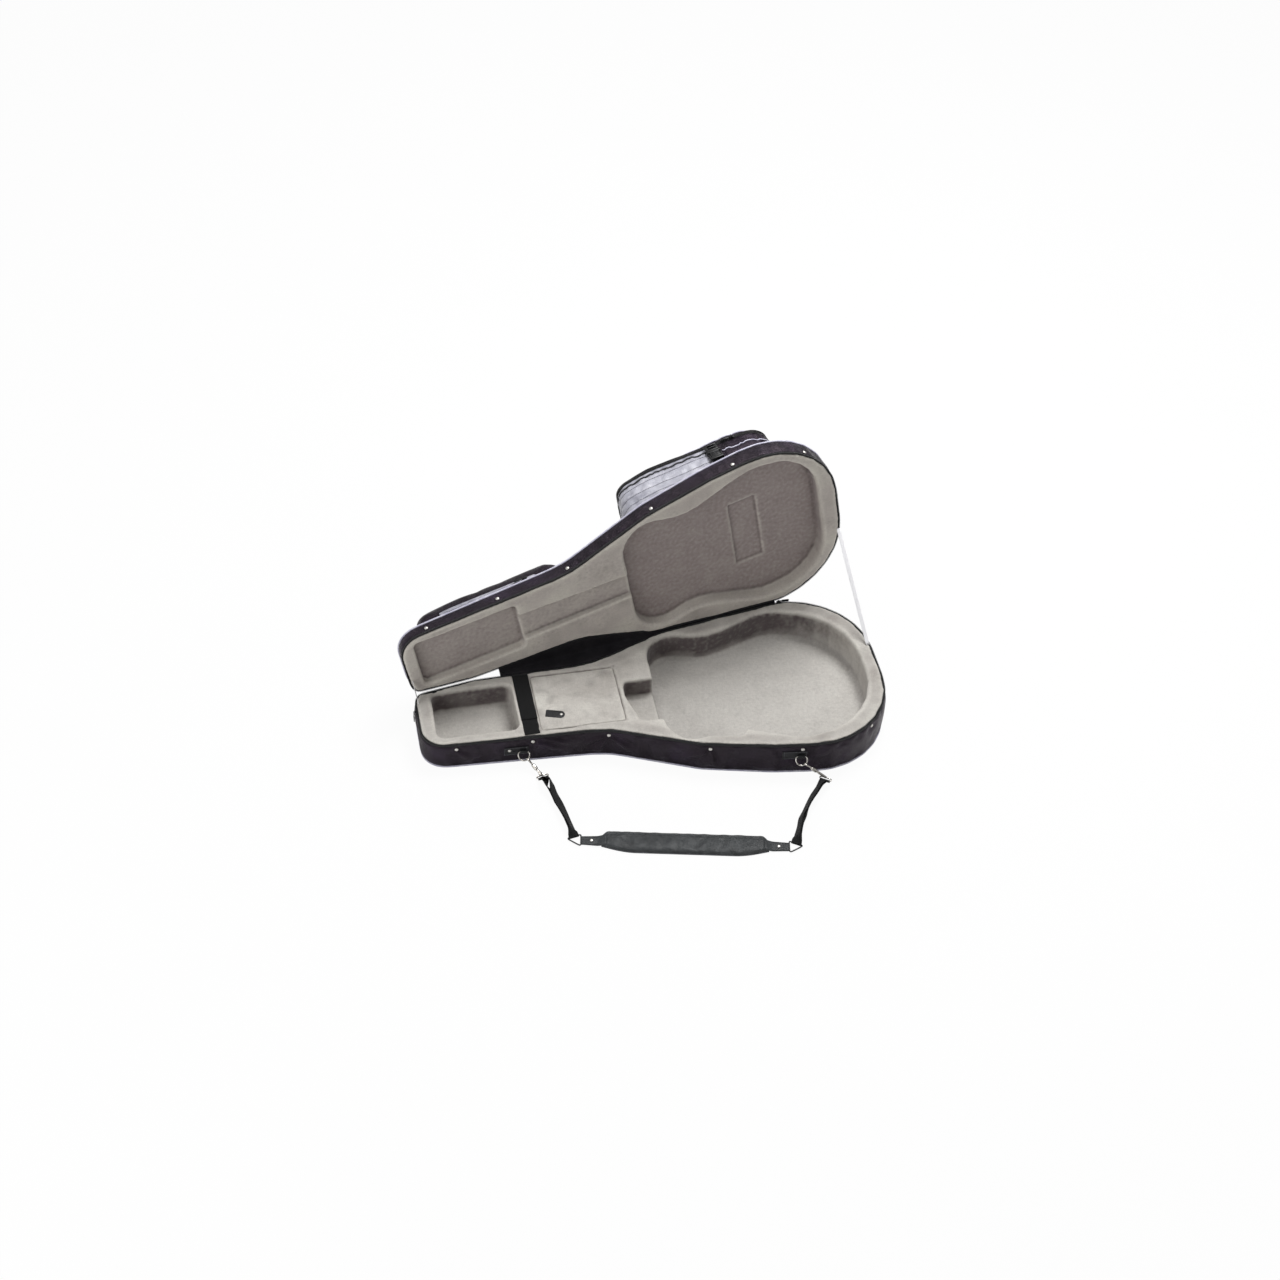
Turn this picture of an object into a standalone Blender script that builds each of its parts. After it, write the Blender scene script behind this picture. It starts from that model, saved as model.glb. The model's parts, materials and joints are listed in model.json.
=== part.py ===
"""Lightweight guitar case of the gig-bag kind, shown lying open.

The case lies on its back. X runs along it from the head (-X) to the butt (+X), +Y is the
hinge side, -Y the opening side with the shoulder strap, +Z is up. The origin is the middle
of the underside. Most shapes are drawn in the rim frame, whose z = 0 is the plane in which
base and lid meet. That plane rises a little towards the butt, because the case is deeper there.
"""
import math

import bmesh
import bpy
from mathutils import Matrix, Quaternion, Vector

# Outline of the case, seen from above: half widths and corner radii
CASE_LENGTH = 1.080
BUTT_HALF_WIDTH = 0.2582
BUTT_RADIUS = 0.186
BELLY_X = 0.302
BELLY_HALF_WIDTH = 0.2303
BELLY_RADIUS = 0.450
WAIST_X = 0.078
WAIST_HALF_WIDTH = 0.2034
WAIST_RADIUS = 0.930
BEND_X = -0.113
BEND_HALF_WIDTH = 0.1065
BEND_RADIUS = 0.204
HEAD_HALF_WIDTH = 0.0935
HEAD_RADIUS = 0.053

# Depths below and above the rim plane at x = 0, and how they grow towards the butt
BASE_DEPTH = 0.0856
BASE_TAPER = 0.0226
LID_DEPTH = 0.0435
LID_TAPER = 0.0178

# Walls and edges
GAP = 0.0003
SIDE_WALL = 0.0055
PANEL_THICKNESS = 0.006
EDGE_CHAMFER = 0.005
PIPING_RADIUS = 0.0022
ZIP_TAPE_HEIGHT = 0.009
ZIP_TAPE_PROUD = 0.002
RIM_ROUNDING = 0.008
FLOOR_ROUNDING = 0.010
BASE_PAD = 0.008
LID_PAD = 0.009

# Hinge seam: a straight line that cuts a little into the outline at the head and at the belly
HINGE_HEAD_X = -CASE_LENGTH / 2 + 0.050
HINGE_BELLY_X = 0.190
HINGE_HEAD_INSET = 0.0108
HINGE_BELLY_INSET = 0.0052
HINGE_RUNNING_GAP = 0.0006
LID_OPEN_ANGLE = math.radians(90)
FLAP_THICKNESS = 0.0012
FLAP_HEAD_X = -0.336

# Headstock compartment
HEAD_BOX_START_X = -CASE_LENGTH / 2 + 0.036
HEAD_BOX_END_X = -0.318
HEAD_BOX_HALF_WIDTH = 0.071
HEAD_BOX_DEPTH = 0.060
HEAD_BOX_CORNER = 0.018

# Accessory compartment and its lid, hinged at the body side
ACCESSORY_START_X = -0.270
ACCESSORY_END_X = -0.074
ACCESSORY_HALF_WIDTH = 0.086
ACCESSORY_LID_THICKNESS = 0.006
ACCESSORY_LID_SINK = 0.0025
ACCESSORY_LID_GAP = 0.0008
ACCESSORY_LEDGE = 0.009
ACCESSORY_DEPTH = 0.062
PULL_TAB_LENGTH = 0.044
PULL_TAB_WIDTH = 0.022
PULL_TAB_THICKNESS = 0.0014
PULL_TAB_X = -0.210
PULL_TAB_Y = -0.047
PULL_TAB_TURN = math.radians(-16)

# Neck strap of hook-and-loop tape, two halves that overlap
NECK_STRAP_X = -0.2915
NECK_STRAP_WIDTH = 0.037
NECK_STRAP_THICKNESS = 0.0016
NECK_STRAP_BACK_END_Y = -0.048
NECK_STRAP_FRONT_END_Y = 0.010
NECK_STRAP_SIDE_GAP = 0.0010

# Body cavity of the base and body recess of the lid: (x, half width, corner radius)
CAVITY_START_X = 0.010
CAVITY_END_X = CASE_LENGTH / 2 - 0.030
CAVITY_SHOULDER = (0.204, 0.070)
CAVITY_WAIST = (0.153, 0.148, 0.120)
CAVITY_BELLY = (0.315, 0.212, 0.118)
CAVITY_BUTT = (0.178, 0.185)
RECESS_START_X = 0.010
RECESS_END_X = CASE_LENGTH / 2 - 0.041
RECESS_SHOULDER = (0.204, 0.076)
RECESS_WAIST = (0.160, 0.145, 0.120)
RECESS_BELLY = (0.335, 0.2115, 0.120)
RECESS_BUTT = (0.200, 0.130)

# Head recess, neck channel and bridge relief of the lid
LID_HEAD_START_X = -CASE_LENGTH / 2 + 0.032
LID_HEAD_END_X = -0.258
LID_HEAD_FRONT_Y = -0.074
LID_HEAD_BACK_Y = 0.062
CHANNEL_HALF_HEAD = 0.040
CHANNEL_HALF_BODY = 0.033
CHANNEL_DEPTH = 0.014
RELIEF_START_X = 0.283
RELIEF_END_X = 0.353
RELIEF_HALF_WIDTH = 0.097
RELIEF_DEPTH = 0.004

# Pockets on the outside of the lid
MAIN_POCKET_START_X = 0.040
MAIN_POCKET_END_X = CASE_LENGTH / 2 - 0.095
MAIN_POCKET_HALF_WIDTH = 0.186
MAIN_POCKET_NECK_HALF_WIDTH = 0.168
MAIN_POCKET_DEPTH = 0.108
MAIN_POCKET_DRAFT = 0.005
POCKET_CLOTH = 0.0025
POCKET_ZIP_HEIGHT = 0.008
POCKET_ZIP_PROUD = 0.0014
FLAT_POCKET_START_X = 0.145
FLAT_POCKET_END_X = 0.430
FLAT_POCKET_HALF_WIDTH = 0.163
FLAT_POCKET_DEPTH = 0.030
NECK_POCKET_START_X = -CASE_LENGTH / 2 + 0.053
NECK_POCKET_END_X = -0.112
NECK_POCKET_HALF_WIDTH = 0.093
NECK_POCKET_HEAD_HALF_WIDTH = 0.084
NECK_POCKET_DEPTH = 0.045

# Shoulder strap and its metal fittings
DRING_WIRE = 0.0019
DRING_BAR = 0.026
DRING_REACH = 0.021
DRING_LEFT_X = -0.314
DRING_LEFT_DROP = 0.043
DRING_RIGHT_X = 0.304
DRING_RIGHT_DROP = 0.036
DRING_STANDOFF = 0.0062
DRING_HANG = math.radians(45)
SLEEVE_WALL = 0.0014
SLEEVE_LENGTH = 0.017
PATCH_LENGTH = 0.056
PATCH_HEIGHT = 0.024
PATCH_THICKNESS = 0.0018
HOOK_RADIUS = 0.0075
HOOK_WIRE = 0.0022
HOOK_BARREL_RADIUS = 0.0046
HOOK_BARREL_LENGTH = 0.015
HOOK_STEM = 0.010
GATE_RADIUS = 0.0011
GATE_LENGTH = 0.0115
WEBBING_WIDTH = 0.024
WEBBING_THICKNESS = 0.0014
SWIVEL_WIRE = 0.0018
SWIVEL_DEPTH = 0.010
STRAP_RING_WIRE = 0.0018
STRAP_RING_ROUNDING = 0.003
SWIVEL_LEFT = Vector((-0.280, -0.168, 0.0060))
SWIVEL_RIGHT = Vector((0.3500, -0.2790, 0.0130))
PAD_MIDDLE_X = -0.002
PAD_MIDDLE_Y = -0.408
PAD_TURN = math.radians(-11.3)
TAB_LENGTH = 0.045
PAD_LENGTH = 0.372
PAD_WIDTH = 0.062
PAD_THICKNESS = 0.011
PAD_EDGE = 0.0028
TAB_WIDTH = 0.028
TAB_THICKNESS = 0.0030

# Carry handle on the hinge side, and the ribbons that stop the lid
HANDLE_HEAD_X = -0.170
HANDLE_BODY_X = -0.035
HANDLE_DROP = 0.024
HANDLE_REACH = 0.036
HANDLE_WIRE = 0.0020
HANDLE_GRIP_RADIUS = 0.0075
HANDLE_STANDOFF = 0.0090
HANDLE_MOUNT_LENGTH = 0.026
STAY_WIDTH = 0.009
STAY_THICKNESS = 0.0008
BUTT_STAY_LID_Y = 0.075
BUTT_STAY_BASE_Y = 0.054
HEAD_STAY_LID_Y = 0.032
HEAD_STAY_BASE_Y = 0.041
STAY_X = CASE_LENGTH / 2 - 0.006

# Zip sliders
SLIDER_LENGTH = 0.012
SLIDER_WIDTH = 0.008
SLIDER_THICKNESS = 0.0045
PULL_LENGTH = 0.026
PULL_WIDTH = 0.007
PULL_THICKNESS = 0.0020
END_SLIDER_X = 0.362
HEAD_SLIDER_Y = 0.020

ARC_STEPS = 7


def clear_scene():
    for item in list(bpy.data.objects):
        bpy.data.objects.remove(item, do_unlink=True)


def new_collection(name):
    group = bpy.data.collections.new(name)
    bpy.context.scene.collection.children.link(group)
    return group


clear_scene()
PARTS = new_collection("guitar_gig_bag")
CUTTERS = new_collection("cutters")


def make_material(name, colour, roughness, metallic=0.0):
    material = bpy.data.materials.new(name)
    material.use_nodes = True
    shader = material.node_tree.nodes["Principled BSDF"]
    shader.inputs["Base Color"].default_value = (*colour, 1.0)
    shader.inputs["Roughness"].default_value = roughness
    shader.inputs["Metallic"].default_value = metallic
    return material


NYLON = make_material("black_nylon", (0.022, 0.018, 0.027), 0.45)
PLUSH_BASE = make_material("light_grey_plush", (0.41, 0.39, 0.35), 0.95)
PLUSH_LID = make_material("dark_grey_plush", (0.26, 0.23, 0.21), 0.95)
BINDING = make_material("black_binding", (0.010, 0.010, 0.012), 0.7)
PIPING = make_material("white_piping", (0.70, 0.69, 0.78), 0.4)
WEBBING = make_material("black_webbing", (0.012, 0.013, 0.015), 0.8)
SILVER_CLOTH = make_material("silver_nylon", (0.58, 0.59, 0.67), 0.4)
VINYL = make_material("black_leatherette", (0.035, 0.042, 0.046), 0.5)
NICKEL = make_material("nickel_plated_steel", (0.62, 0.60, 0.57), 0.25, 1.0)
PLASTIC = make_material("black_acetal", (0.012, 0.012, 0.013), 0.4)
RIBBON = make_material("white_ribbon", (0.76, 0.76, 0.78), 0.5)


def finish(thing, material, parent=None, smooth=True, group=PARTS):
    """Put an object in the collection with its material, parent and shading."""
    if thing.name not in group.objects:
        group.objects.link(thing)
    thing.data.materials.clear()
    thing.data.materials.append(material)
    thing.parent = parent
    if smooth and thing.type == "MESH":
        thing.data.shade_smooth()
        thing.data.set_sharp_from_angle(angle=math.radians(35))
    return thing


def mesh_object(name, bm):
    bmesh.ops.recalc_face_normals(bm, faces=bm.faces)
    if bm.calc_volume(signed=True) < 0:
        bmesh.ops.reverse_faces(bm, faces=bm.faces)
    mesh = bpy.data.meshes.new(name)
    bm.to_mesh(mesh)
    bm.free()
    return bpy.data.objects.new(name, mesh)


def loft(name, rings, closed=False):
    """Skin rings of equally many points. An open row of rings gets a cap at each end."""
    bm = bmesh.new()
    rows = [[bm.verts.new(point) for point in ring] for ring in rings]
    count = len(rows[0])
    pairs = list(zip(rows, rows[1:]))
    if closed:
        pairs.append((rows[-1], rows[0]))
    for low, high in pairs:
        for i in range(count):
            j = (i + 1) % count
            bm.faces.new((low[i], low[j], high[j], high[i]))
    if not closed:
        bm.faces.new(list(reversed(rows[0])))
        bm.faces.new(rows[-1])
    return mesh_object(name, bm)


def corner_cuts(places, radii):
    """How far each corner's arc runs along its sides, shortened where two arcs would meet."""
    cuts = [0.0]
    for before, corner, after, radius in zip(places, places[1:], places[2:], radii[1:]):
        cuts.append(radius / math.tan((before - corner).angle(after - corner) / 2))
    cuts.append(0.0)
    shares = []
    for k in range(len(places) - 1):
        side = (places[k + 1] - places[k]).length
        shares.append(min(1.0, 0.98 * side / max(cuts[k] + cuts[k + 1], 1e-9)))
    return [cuts[k] * min(shares[k - 1], shares[k]) for k in range(1, len(places) - 1)]


def fillet(corners, steps=ARC_STEPS):
    """A row of (x, y, radius) corners as points, with each inner corner rounded."""
    places = [Vector(corner[:2]) for corner in corners]
    cuts = corner_cuts(places, [corner[2] for corner in corners])
    points = [places[0]]
    for before, middle, after, cut in zip(places, places[1:], places[2:], cuts):
        u = (before - middle).normalized()
        v = (after - middle).normalized()
        half_angle = u.angle(v) / 2
        centre = middle + (u + v).normalized() * cut / math.cos(half_angle)
        start = middle + u * cut - centre
        turn = start.angle_signed(middle + v * cut - centre)
        count = max(2, math.ceil(steps * abs(turn) / (math.pi / 2)))
        for k in range(count + 1):
            a = -turn * k / count
            spoke = Vector((start.x * math.cos(a) - start.y * math.sin(a),
                            start.x * math.sin(a) + start.y * math.cos(a)))
            points.append(centre + spoke)
    points.append(places[-1])
    return points


def mirrored_loop(half):
    """A whole outline, counter-clockwise, from its +Y half that runs from +X to -X."""
    other = [Vector((p.x, -p.y)) for p in reversed(half[1:-1])]
    return half + other


def symmetric_loop(corners, steps=ARC_STEPS):
    return mirrored_loop(fillet(corners, steps))


def offset(loop, distance):
    """Move each side of a counter-clockwise outline outwards by a distance."""
    moved = []
    for before, point, after in zip(loop[-1:] + loop[:-1], loop, loop[1:] + loop[:1]):
        d1 = (point - before).normalized()
        d2 = (after - point).normalized()
        n1 = Vector((d1.y, -d1.x))
        n2 = Vector((d2.y, -d2.x))
        moved.append(point + (n1 + n2) * distance / (1 + n1.dot(n2)))
    return moved


def ring(loop, distance, height):
    """An outline offset by a distance, at a height that may be a function of x."""
    level = height if callable(height) else lambda x: height
    return [Vector((p.x, p.y, level(p.x))) for p in offset(loop, distance)]


def base_bottom(x):
    return -(BASE_DEPTH + BASE_TAPER * x)


def lid_top(x):
    return LID_DEPTH + LID_TAPER * x


def above(function, amount):
    return lambda x: function(x) + amount


HALF_OUTLINE = fillet([
    (CASE_LENGTH / 2, 0, 0),
    (CASE_LENGTH / 2, BUTT_HALF_WIDTH, BUTT_RADIUS),
    (BELLY_X, BELLY_HALF_WIDTH, BELLY_RADIUS),
    (WAIST_X, WAIST_HALF_WIDTH, WAIST_RADIUS),
    (BEND_X, BEND_HALF_WIDTH, BEND_RADIUS),
    (-CASE_LENGTH / 2, HEAD_HALF_WIDTH, HEAD_RADIUS),
    (-CASE_LENGTH / 2, 0, 0),
], 6)


def half_width(x):
    """Half the case's width at x, before the hinge seam cuts it straight."""
    for p, q in zip(HALF_OUTLINE, HALF_OUTLINE[1:]):
        if q.x <= x <= p.x and p.x > q.x:
            return p.y + (q.y - p.y) * (p.x - x) / (p.x - q.x)
    return HALF_OUTLINE[-2].y


HINGE_START = Vector((HINGE_HEAD_X, half_width(HINGE_HEAD_X) - HINGE_HEAD_INSET, 0))
HINGE_END = Vector((HINGE_BELLY_X, half_width(HINGE_BELLY_X) - HINGE_BELLY_INSET, 0))
HINGE_DIRECTION = (HINGE_END - HINGE_START).normalized()
HINGE_SLOPE = HINGE_DIRECTION.y / HINGE_DIRECTION.x


def hinge_y(x):
    return HINGE_START.y + HINGE_SLOPE * (x - HINGE_START.x)


def cut_straight(loop, clearance):
    """Cut an outline along the hinge line, a clearance short of it."""
    def room(p):
        return hinge_y(p.x) - clearance - p.y

    kept = []
    for p, q in zip(loop, loop[1:] + loop[:1]):
        if room(p) >= 0:
            kept.append(p)
        if (room(p) >= 0) != (room(q) >= 0):
            kept.append(p.lerp(q, room(p) / (room(p) - room(q))))
    return kept


OUTLINE = cut_straight(mirrored_loop(HALF_OUTLINE), ZIP_TAPE_PROUD + HINGE_RUNNING_GAP)


def rotated_empty(name, location, rotation, parent=None):
    empty = bpy.data.objects.new(name, None)
    PARTS.objects.link(empty)
    empty.rotation_mode = "QUATERNION"
    empty.location = location
    empty.rotation_quaternion = rotation
    empty.parent = parent
    return empty


# The rim frame is turned so that the underside lies level, with its middle at the origin
TILT = Quaternion((0, 1, 0), -math.atan(BASE_TAPER))
BASE_FRAME = rotated_empty("base_frame", TILT @ Vector((0, 0, BASE_DEPTH)), TILT)
LID_FRAME = rotated_empty("lid_hinge_axis", HINGE_START,
                          Quaternion(HINGE_DIRECTION, -LID_OPEN_ANGLE), BASE_FRAME)
RIM_TO_WORLD = Matrix.Translation(TILT @ Vector((0, 0, BASE_DEPTH))) @ TILT.to_matrix().to_4x4()


def on_base(thing, material, smooth=True):
    return finish(thing, material, BASE_FRAME, smooth)


def on_lid(thing, material, smooth=True):
    """A piece drawn on the closed lid rides on the empty that stands on the hinge line."""
    thing.location = thing.location - HINGE_START
    return finish(thing, material, LID_FRAME, smooth)


def cutter(thing):
    """Hide a cutter from the render, in the frame of the piece that it cuts."""
    finish(thing, BINDING, smooth=False, group=CUTTERS)
    thing.hide_render = True
    thing.display_type = "WIRE"
    return thing


def boolean(target, other, operation="DIFFERENCE"):
    modifier = target.modifiers.new(operation.lower(), "BOOLEAN")
    modifier.operation = operation
    modifier.solver = "EXACT"
    modifier.object = other
    return modifier


def apply_modifiers(thing):
    """Turn an object with modifiers, or a curve, into a plain welded mesh object."""
    bpy.context.view_layer.update()
    graph = bpy.context.evaluated_depsgraph_get()
    mesh = bpy.data.meshes.new_from_object(thing.evaluated_get(graph))
    bm = bmesh.new()
    bm.from_mesh(mesh)
    bmesh.ops.remove_doubles(bm, verts=bm.verts, dist=0.00001)
    bm.to_mesh(mesh)
    bm.free()
    name = thing.name
    world = thing.matrix_world.copy()
    bpy.data.objects.remove(thing, do_unlink=True)
    plain = bpy.data.objects.new(name, mesh)
    plain.matrix_world = world
    return plain


def joined(name, things):
    """Unite overlapping solids into one plain mesh object, at the first one's origin."""
    first, *others = things
    for other in others:
        cutter(other)
        boolean(first, other, "UNION")
    CUTTERS.objects.link(first)
    plain = apply_modifiers(first)
    for other in others:
        bpy.data.objects.remove(other, do_unlink=True)
    plain.name = name
    return plain


def cavity(name, loop, floor, side=1, rim=RIM_ROUNDING, foot=FLOOR_ROUNDING):
    """A cutter for a padded hollow: rounded at its floor and flared at its rim.

    side is 1 for a hollow that goes down from the rim plane, and -1 for one in the lid.
    """
    level = floor if callable(floor) else lambda x: floor
    rings = []
    for angle in (0, 45, 90):
        t = math.radians(angle)
        rings.append(ring(loop, -foot * (1 - math.sin(t)),
                          lambda x, t=t: level(x) + side * foot * (1 - math.cos(t))))
    edge = -side * GAP
    for angle in (0, 40, 72):
        t = math.radians(angle)
        rings.append(ring(loop, rim * (1 - math.cos(t)), edge - side * rim * (1 - math.sin(t))))
    rings.append(ring(loop, rim * (1 - math.cos(t)) + 0.001, edge + side * 0.02))
    return cutter(loft(name, rings))


def guitar_half(start, end, shoulder, waist, belly, butt):
    """Half of a guitar body's outline, from its butt at +X to its shoulder."""
    return fillet([
        (end, 0, 0),
        (end, butt[0], butt[1]),
        belly,
        waist,
        (start, shoulder[0], shoulder[1]),
        (start, 0, 0),
    ], 6)


def rounded_box_loop(x0, x1, y0, y1, radius, steps=4):
    loop = fillet([(x1, (y0 + y1) / 2, 0), (x1, y1, radius), (x0, y1, radius),
                   (x0, y0, radius), (x1, y0, radius), (x1, (y0 + y1) / 2, 0)], steps)
    return loop[:-1]


def wall_y(x, side):
    """The side wall's outer face at x, with the hinge side cut straight where the line cuts it."""
    if side < 0:
        return -half_width(x)
    return min(half_width(x), hinge_y(x) - ZIP_TAPE_PROUD - HINGE_RUNNING_GAP)


def wall_frame(x, side):
    """A point of the side wall's outer face at x, with its direction along the wall."""
    step = 0.004
    along = Vector((2 * step, wall_y(x + step, side) - wall_y(x - step, side))).normalized()
    return Vector((x, wall_y(x, side))), along


# Base

def build_base():
    panel = loft("base_panel", [
        ring(OUTLINE, -EDGE_CHAMFER, base_bottom),
        ring(OUTLINE, 0, above(base_bottom, EDGE_CHAMFER)),
        ring(OUTLINE, 0, above(base_bottom, PANEL_THICKNESS)),
    ])
    on_base(panel, NYLON)
    wall = loft("base_side_wall", [
        ring(OUTLINE, 0, above(base_bottom, PANEL_THICKNESS + GAP)),
        ring(OUTLINE, 0, -(ZIP_TAPE_HEIGHT + 2 * GAP)),
        ring(OUTLINE, -SIDE_WALL, -(ZIP_TAPE_HEIGHT + 2 * GAP)),
        ring(OUTLINE, -SIDE_WALL, above(base_bottom, PANEL_THICKNESS + GAP)),
    ], closed=True)
    on_base(wall, NYLON)
    on_base(zip_tape("base_zip_tape", 1), BINDING)
    on_base(piping("base_piping", base_bottom, 1), PIPING)
    build_base_liner()


def zip_tape(name, side):
    """The band with half of the zip that binds a rim, side 1 on the base and -1 on the lid."""
    low = -side * (ZIP_TAPE_HEIGHT + GAP)
    high = -side * GAP
    crown = 0.0012
    return loft(name, [
        ring(OUTLINE, -SIDE_WALL, low),
        ring(OUTLINE, ZIP_TAPE_PROUD * 0.4, low),
        ring(OUTLINE, ZIP_TAPE_PROUD, low + side * crown * 2),
        ring(OUTLINE, ZIP_TAPE_PROUD, high - side * crown),
        ring(OUTLINE, ZIP_TAPE_PROUD * 0.4, high),
        ring(OUTLINE, -SIDE_WALL, high),
    ], closed=True)


def piping(name, edge, side):
    """The cord sewn along the outer edge, seated in the panel's chamfer."""
    reach = (PIPING_RADIUS + GAP) * math.sqrt(2) - EDGE_CHAMFER + PIPING_RADIUS + GAP
    rings = []
    for k in range(6):
        t = math.tau * (k + 0.5) / 6
        rise = side * (PIPING_RADIUS + GAP + PIPING_RADIUS * math.sin(t))
        rings.append(ring(OUTLINE, reach + PIPING_RADIUS * math.cos(t), above(edge, rise)))
    return loft(name, rings, closed=True)


def build_base_liner():
    foot = above(base_bottom, PANEL_THICKNESS + GAP)
    inset = -(SIDE_WALL + GAP)
    liner = loft("base_liner", [
        ring(OUTLINE, inset, foot),
        ring(OUTLINE, inset, -0.0030 - GAP),
        ring(OUTLINE, inset - 0.0012, -0.0010 - GAP),
        ring(OUTLINE, inset - 0.0040, -GAP),
    ])
    floor = above(base_bottom, PANEL_THICKNESS + BASE_PAD)
    inner = RIM_ROUNDING * 0.3
    boolean(liner, cavity("head_box_cut", rounded_box_loop(
        HEAD_BOX_START_X, HEAD_BOX_END_X, -HEAD_BOX_HALF_WIDTH, HEAD_BOX_HALF_WIDTH,
        HEAD_BOX_CORNER), -HEAD_BOX_DEPTH))
    ledge_depth = ACCESSORY_LID_SINK + ACCESSORY_LID_THICKNESS + GAP
    boolean(liner, plain_cut("accessory_ledge_cut", rounded_box_loop(
        ACCESSORY_START_X - ACCESSORY_LID_GAP, ACCESSORY_END_X + ACCESSORY_LID_GAP,
        -ACCESSORY_HALF_WIDTH - ACCESSORY_LID_GAP, ACCESSORY_HALF_WIDTH + ACCESSORY_LID_GAP,
        0.009), -ledge_depth, 0.02))
    boolean(liner, plain_cut("accessory_box_cut", rounded_box_loop(
        ACCESSORY_START_X + ACCESSORY_LEDGE, ACCESSORY_END_X - ACCESSORY_LEDGE,
        -ACCESSORY_HALF_WIDTH + ACCESSORY_LEDGE, ACCESSORY_HALF_WIDTH - ACCESSORY_LEDGE,
        0.015), -ACCESSORY_DEPTH, -ledge_depth / 2))
    half = guitar_half(CAVITY_START_X, CAVITY_END_X, CAVITY_SHOULDER, CAVITY_WAIST,
                       CAVITY_BELLY, CAVITY_BUTT)
    boolean(liner, cavity("body_cavity_cut", offset(mirrored_loop(half), -inner), floor))
    heel = rounded_polygon([
        (0.050, 0.034), (-0.059, 0.034), (-0.062, -0.006), (-0.042, -0.092), (0.050, -0.100),
    ], 0.012)
    boolean(liner, cavity("heel_cut", heel, -0.052, rim=0.006))
    waist = rounded_polygon([
        (0.170, -0.100), (0.060, -0.100), (0.052, -0.160), (0.178, -0.178), (0.190, -0.166),
    ], 0.010)
    boolean(liner, cavity("front_waist_cut", waist, above(floor, 0.0012), rim=0.006, foot=0.005))
    slot_width = NECK_STRAP_WIDTH / 2 + NECK_STRAP_SIDE_GAP
    slot_floor = -(2 * NECK_STRAP_THICKNESS + 3 * GAP)
    boolean(liner, plain_cut("neck_strap_slot_cut", rounded_box_loop(
        NECK_STRAP_X - slot_width, NECK_STRAP_X + slot_width, -0.15, 0.15, 0.001, 1),
        slot_floor, 0.02))
    for thing in list(CUTTERS.objects):
        if thing.parent is None:
            thing.parent = BASE_FRAME
    on_base(liner, PLUSH_BASE)


def rounded_polygon(corners, radius, steps=4):
    """A closed counter-clockwise outline with every corner rounded."""
    first = [(corners[0][0] + corners[-1][0]) / 2, (corners[0][1] + corners[-1][1]) / 2, 0]
    row = [first] + [(x, y, radius) for x, y in corners] + [first]
    return fillet(row, steps)[:-1]


def plain_cut(name, loop, floor, top):
    return cutter(loft(name, [ring(loop, 0, floor), ring(loop, 0, top)]))


def build_hinge_flaps():
    """Two fabric flaps that bridge the hollow side between the outline and the hinge line."""
    clearance = ZIP_TAPE_PROUD + GAP
    edge = [p for p in offset(OUTLINE, clearance) if p.y > 0 and FLAP_HEAD_X < p.x < HINGE_BELLY_X]
    edge = [p for p in edge if hinge_y(p.x) - p.y > 0.002]
    edge.sort(key=lambda p: p.x)
    start_y = half_width(FLAP_HEAD_X) + clearance
    lens = [Vector((FLAP_HEAD_X, start_y))] + edge
    outer = HINGE_RUNNING_GAP / 2
    last = edge[-1]
    lens.append(Vector((last.x + 0.004, hinge_y(last.x + 0.004) - outer)))
    lens.append(Vector((FLAP_HEAD_X, hinge_y(FLAP_HEAD_X) - outer)))
    for name, low, high, place in (
            ("base_hinge_flap", -GAP - FLAP_THICKNESS, -GAP, on_base),
            ("lid_hinge_flap", GAP, GAP + FLAP_THICKNESS, on_lid)):
        place(loft(name, [[Vector((p.x, p.y, low)) for p in lens],
                          [Vector((p.x, p.y, high)) for p in lens]]), BINDING)


# Inside fittings of the base

def pivot(name, location, parent):
    """An empty on a joint's axis."""
    return rotated_empty(name, location, Quaternion(), parent)


def build_accessory_lid():
    top = -ACCESSORY_LID_SINK
    hinge = Vector((ACCESSORY_END_X, 0, -GAP))
    axis = pivot("accessory_lid_axis", hinge, BASE_FRAME)
    loop = rounded_box_loop(ACCESSORY_START_X, ACCESSORY_END_X, -ACCESSORY_HALF_WIDTH,
                            ACCESSORY_HALF_WIDTH, 0.008)
    lid = loft("accessory_lid", [
        ring(loop, 0, top - ACCESSORY_LID_THICKNESS),
        ring(loop, 0, top - 0.0015),
        ring(loop, -0.0015, top),
    ])
    lid.location = -hinge
    finish(lid, PLUSH_BASE, axis)

    tab_axis_at = Vector((PULL_TAB_X, PULL_TAB_Y, top + GAP / 2))
    tab_axis = rotated_empty("pull_tab_axis", tab_axis_at - hinge,
                             Quaternion((0, 0, 1), PULL_TAB_TURN), axis)
    half = PULL_TAB_WIDTH / 2
    tab_loop = fillet([(0, 0, 0), (0, half, half * 0.9), (-PULL_TAB_LENGTH, half, 0.002),
                       (-PULL_TAB_LENGTH, -half, 0.002), (0, -half, half * 0.9), (0, 0, 0)], 4)[:-1]
    tab = loft("accessory_pull_tab", [
        ring(tab_loop, 0, GAP / 2),
        ring(tab_loop, 0, PULL_TAB_THICKNESS * 0.7),
        ring(tab_loop, -0.0005, PULL_TAB_THICKNESS),
    ])
    finish(tab, VINYL, tab_axis)


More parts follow.
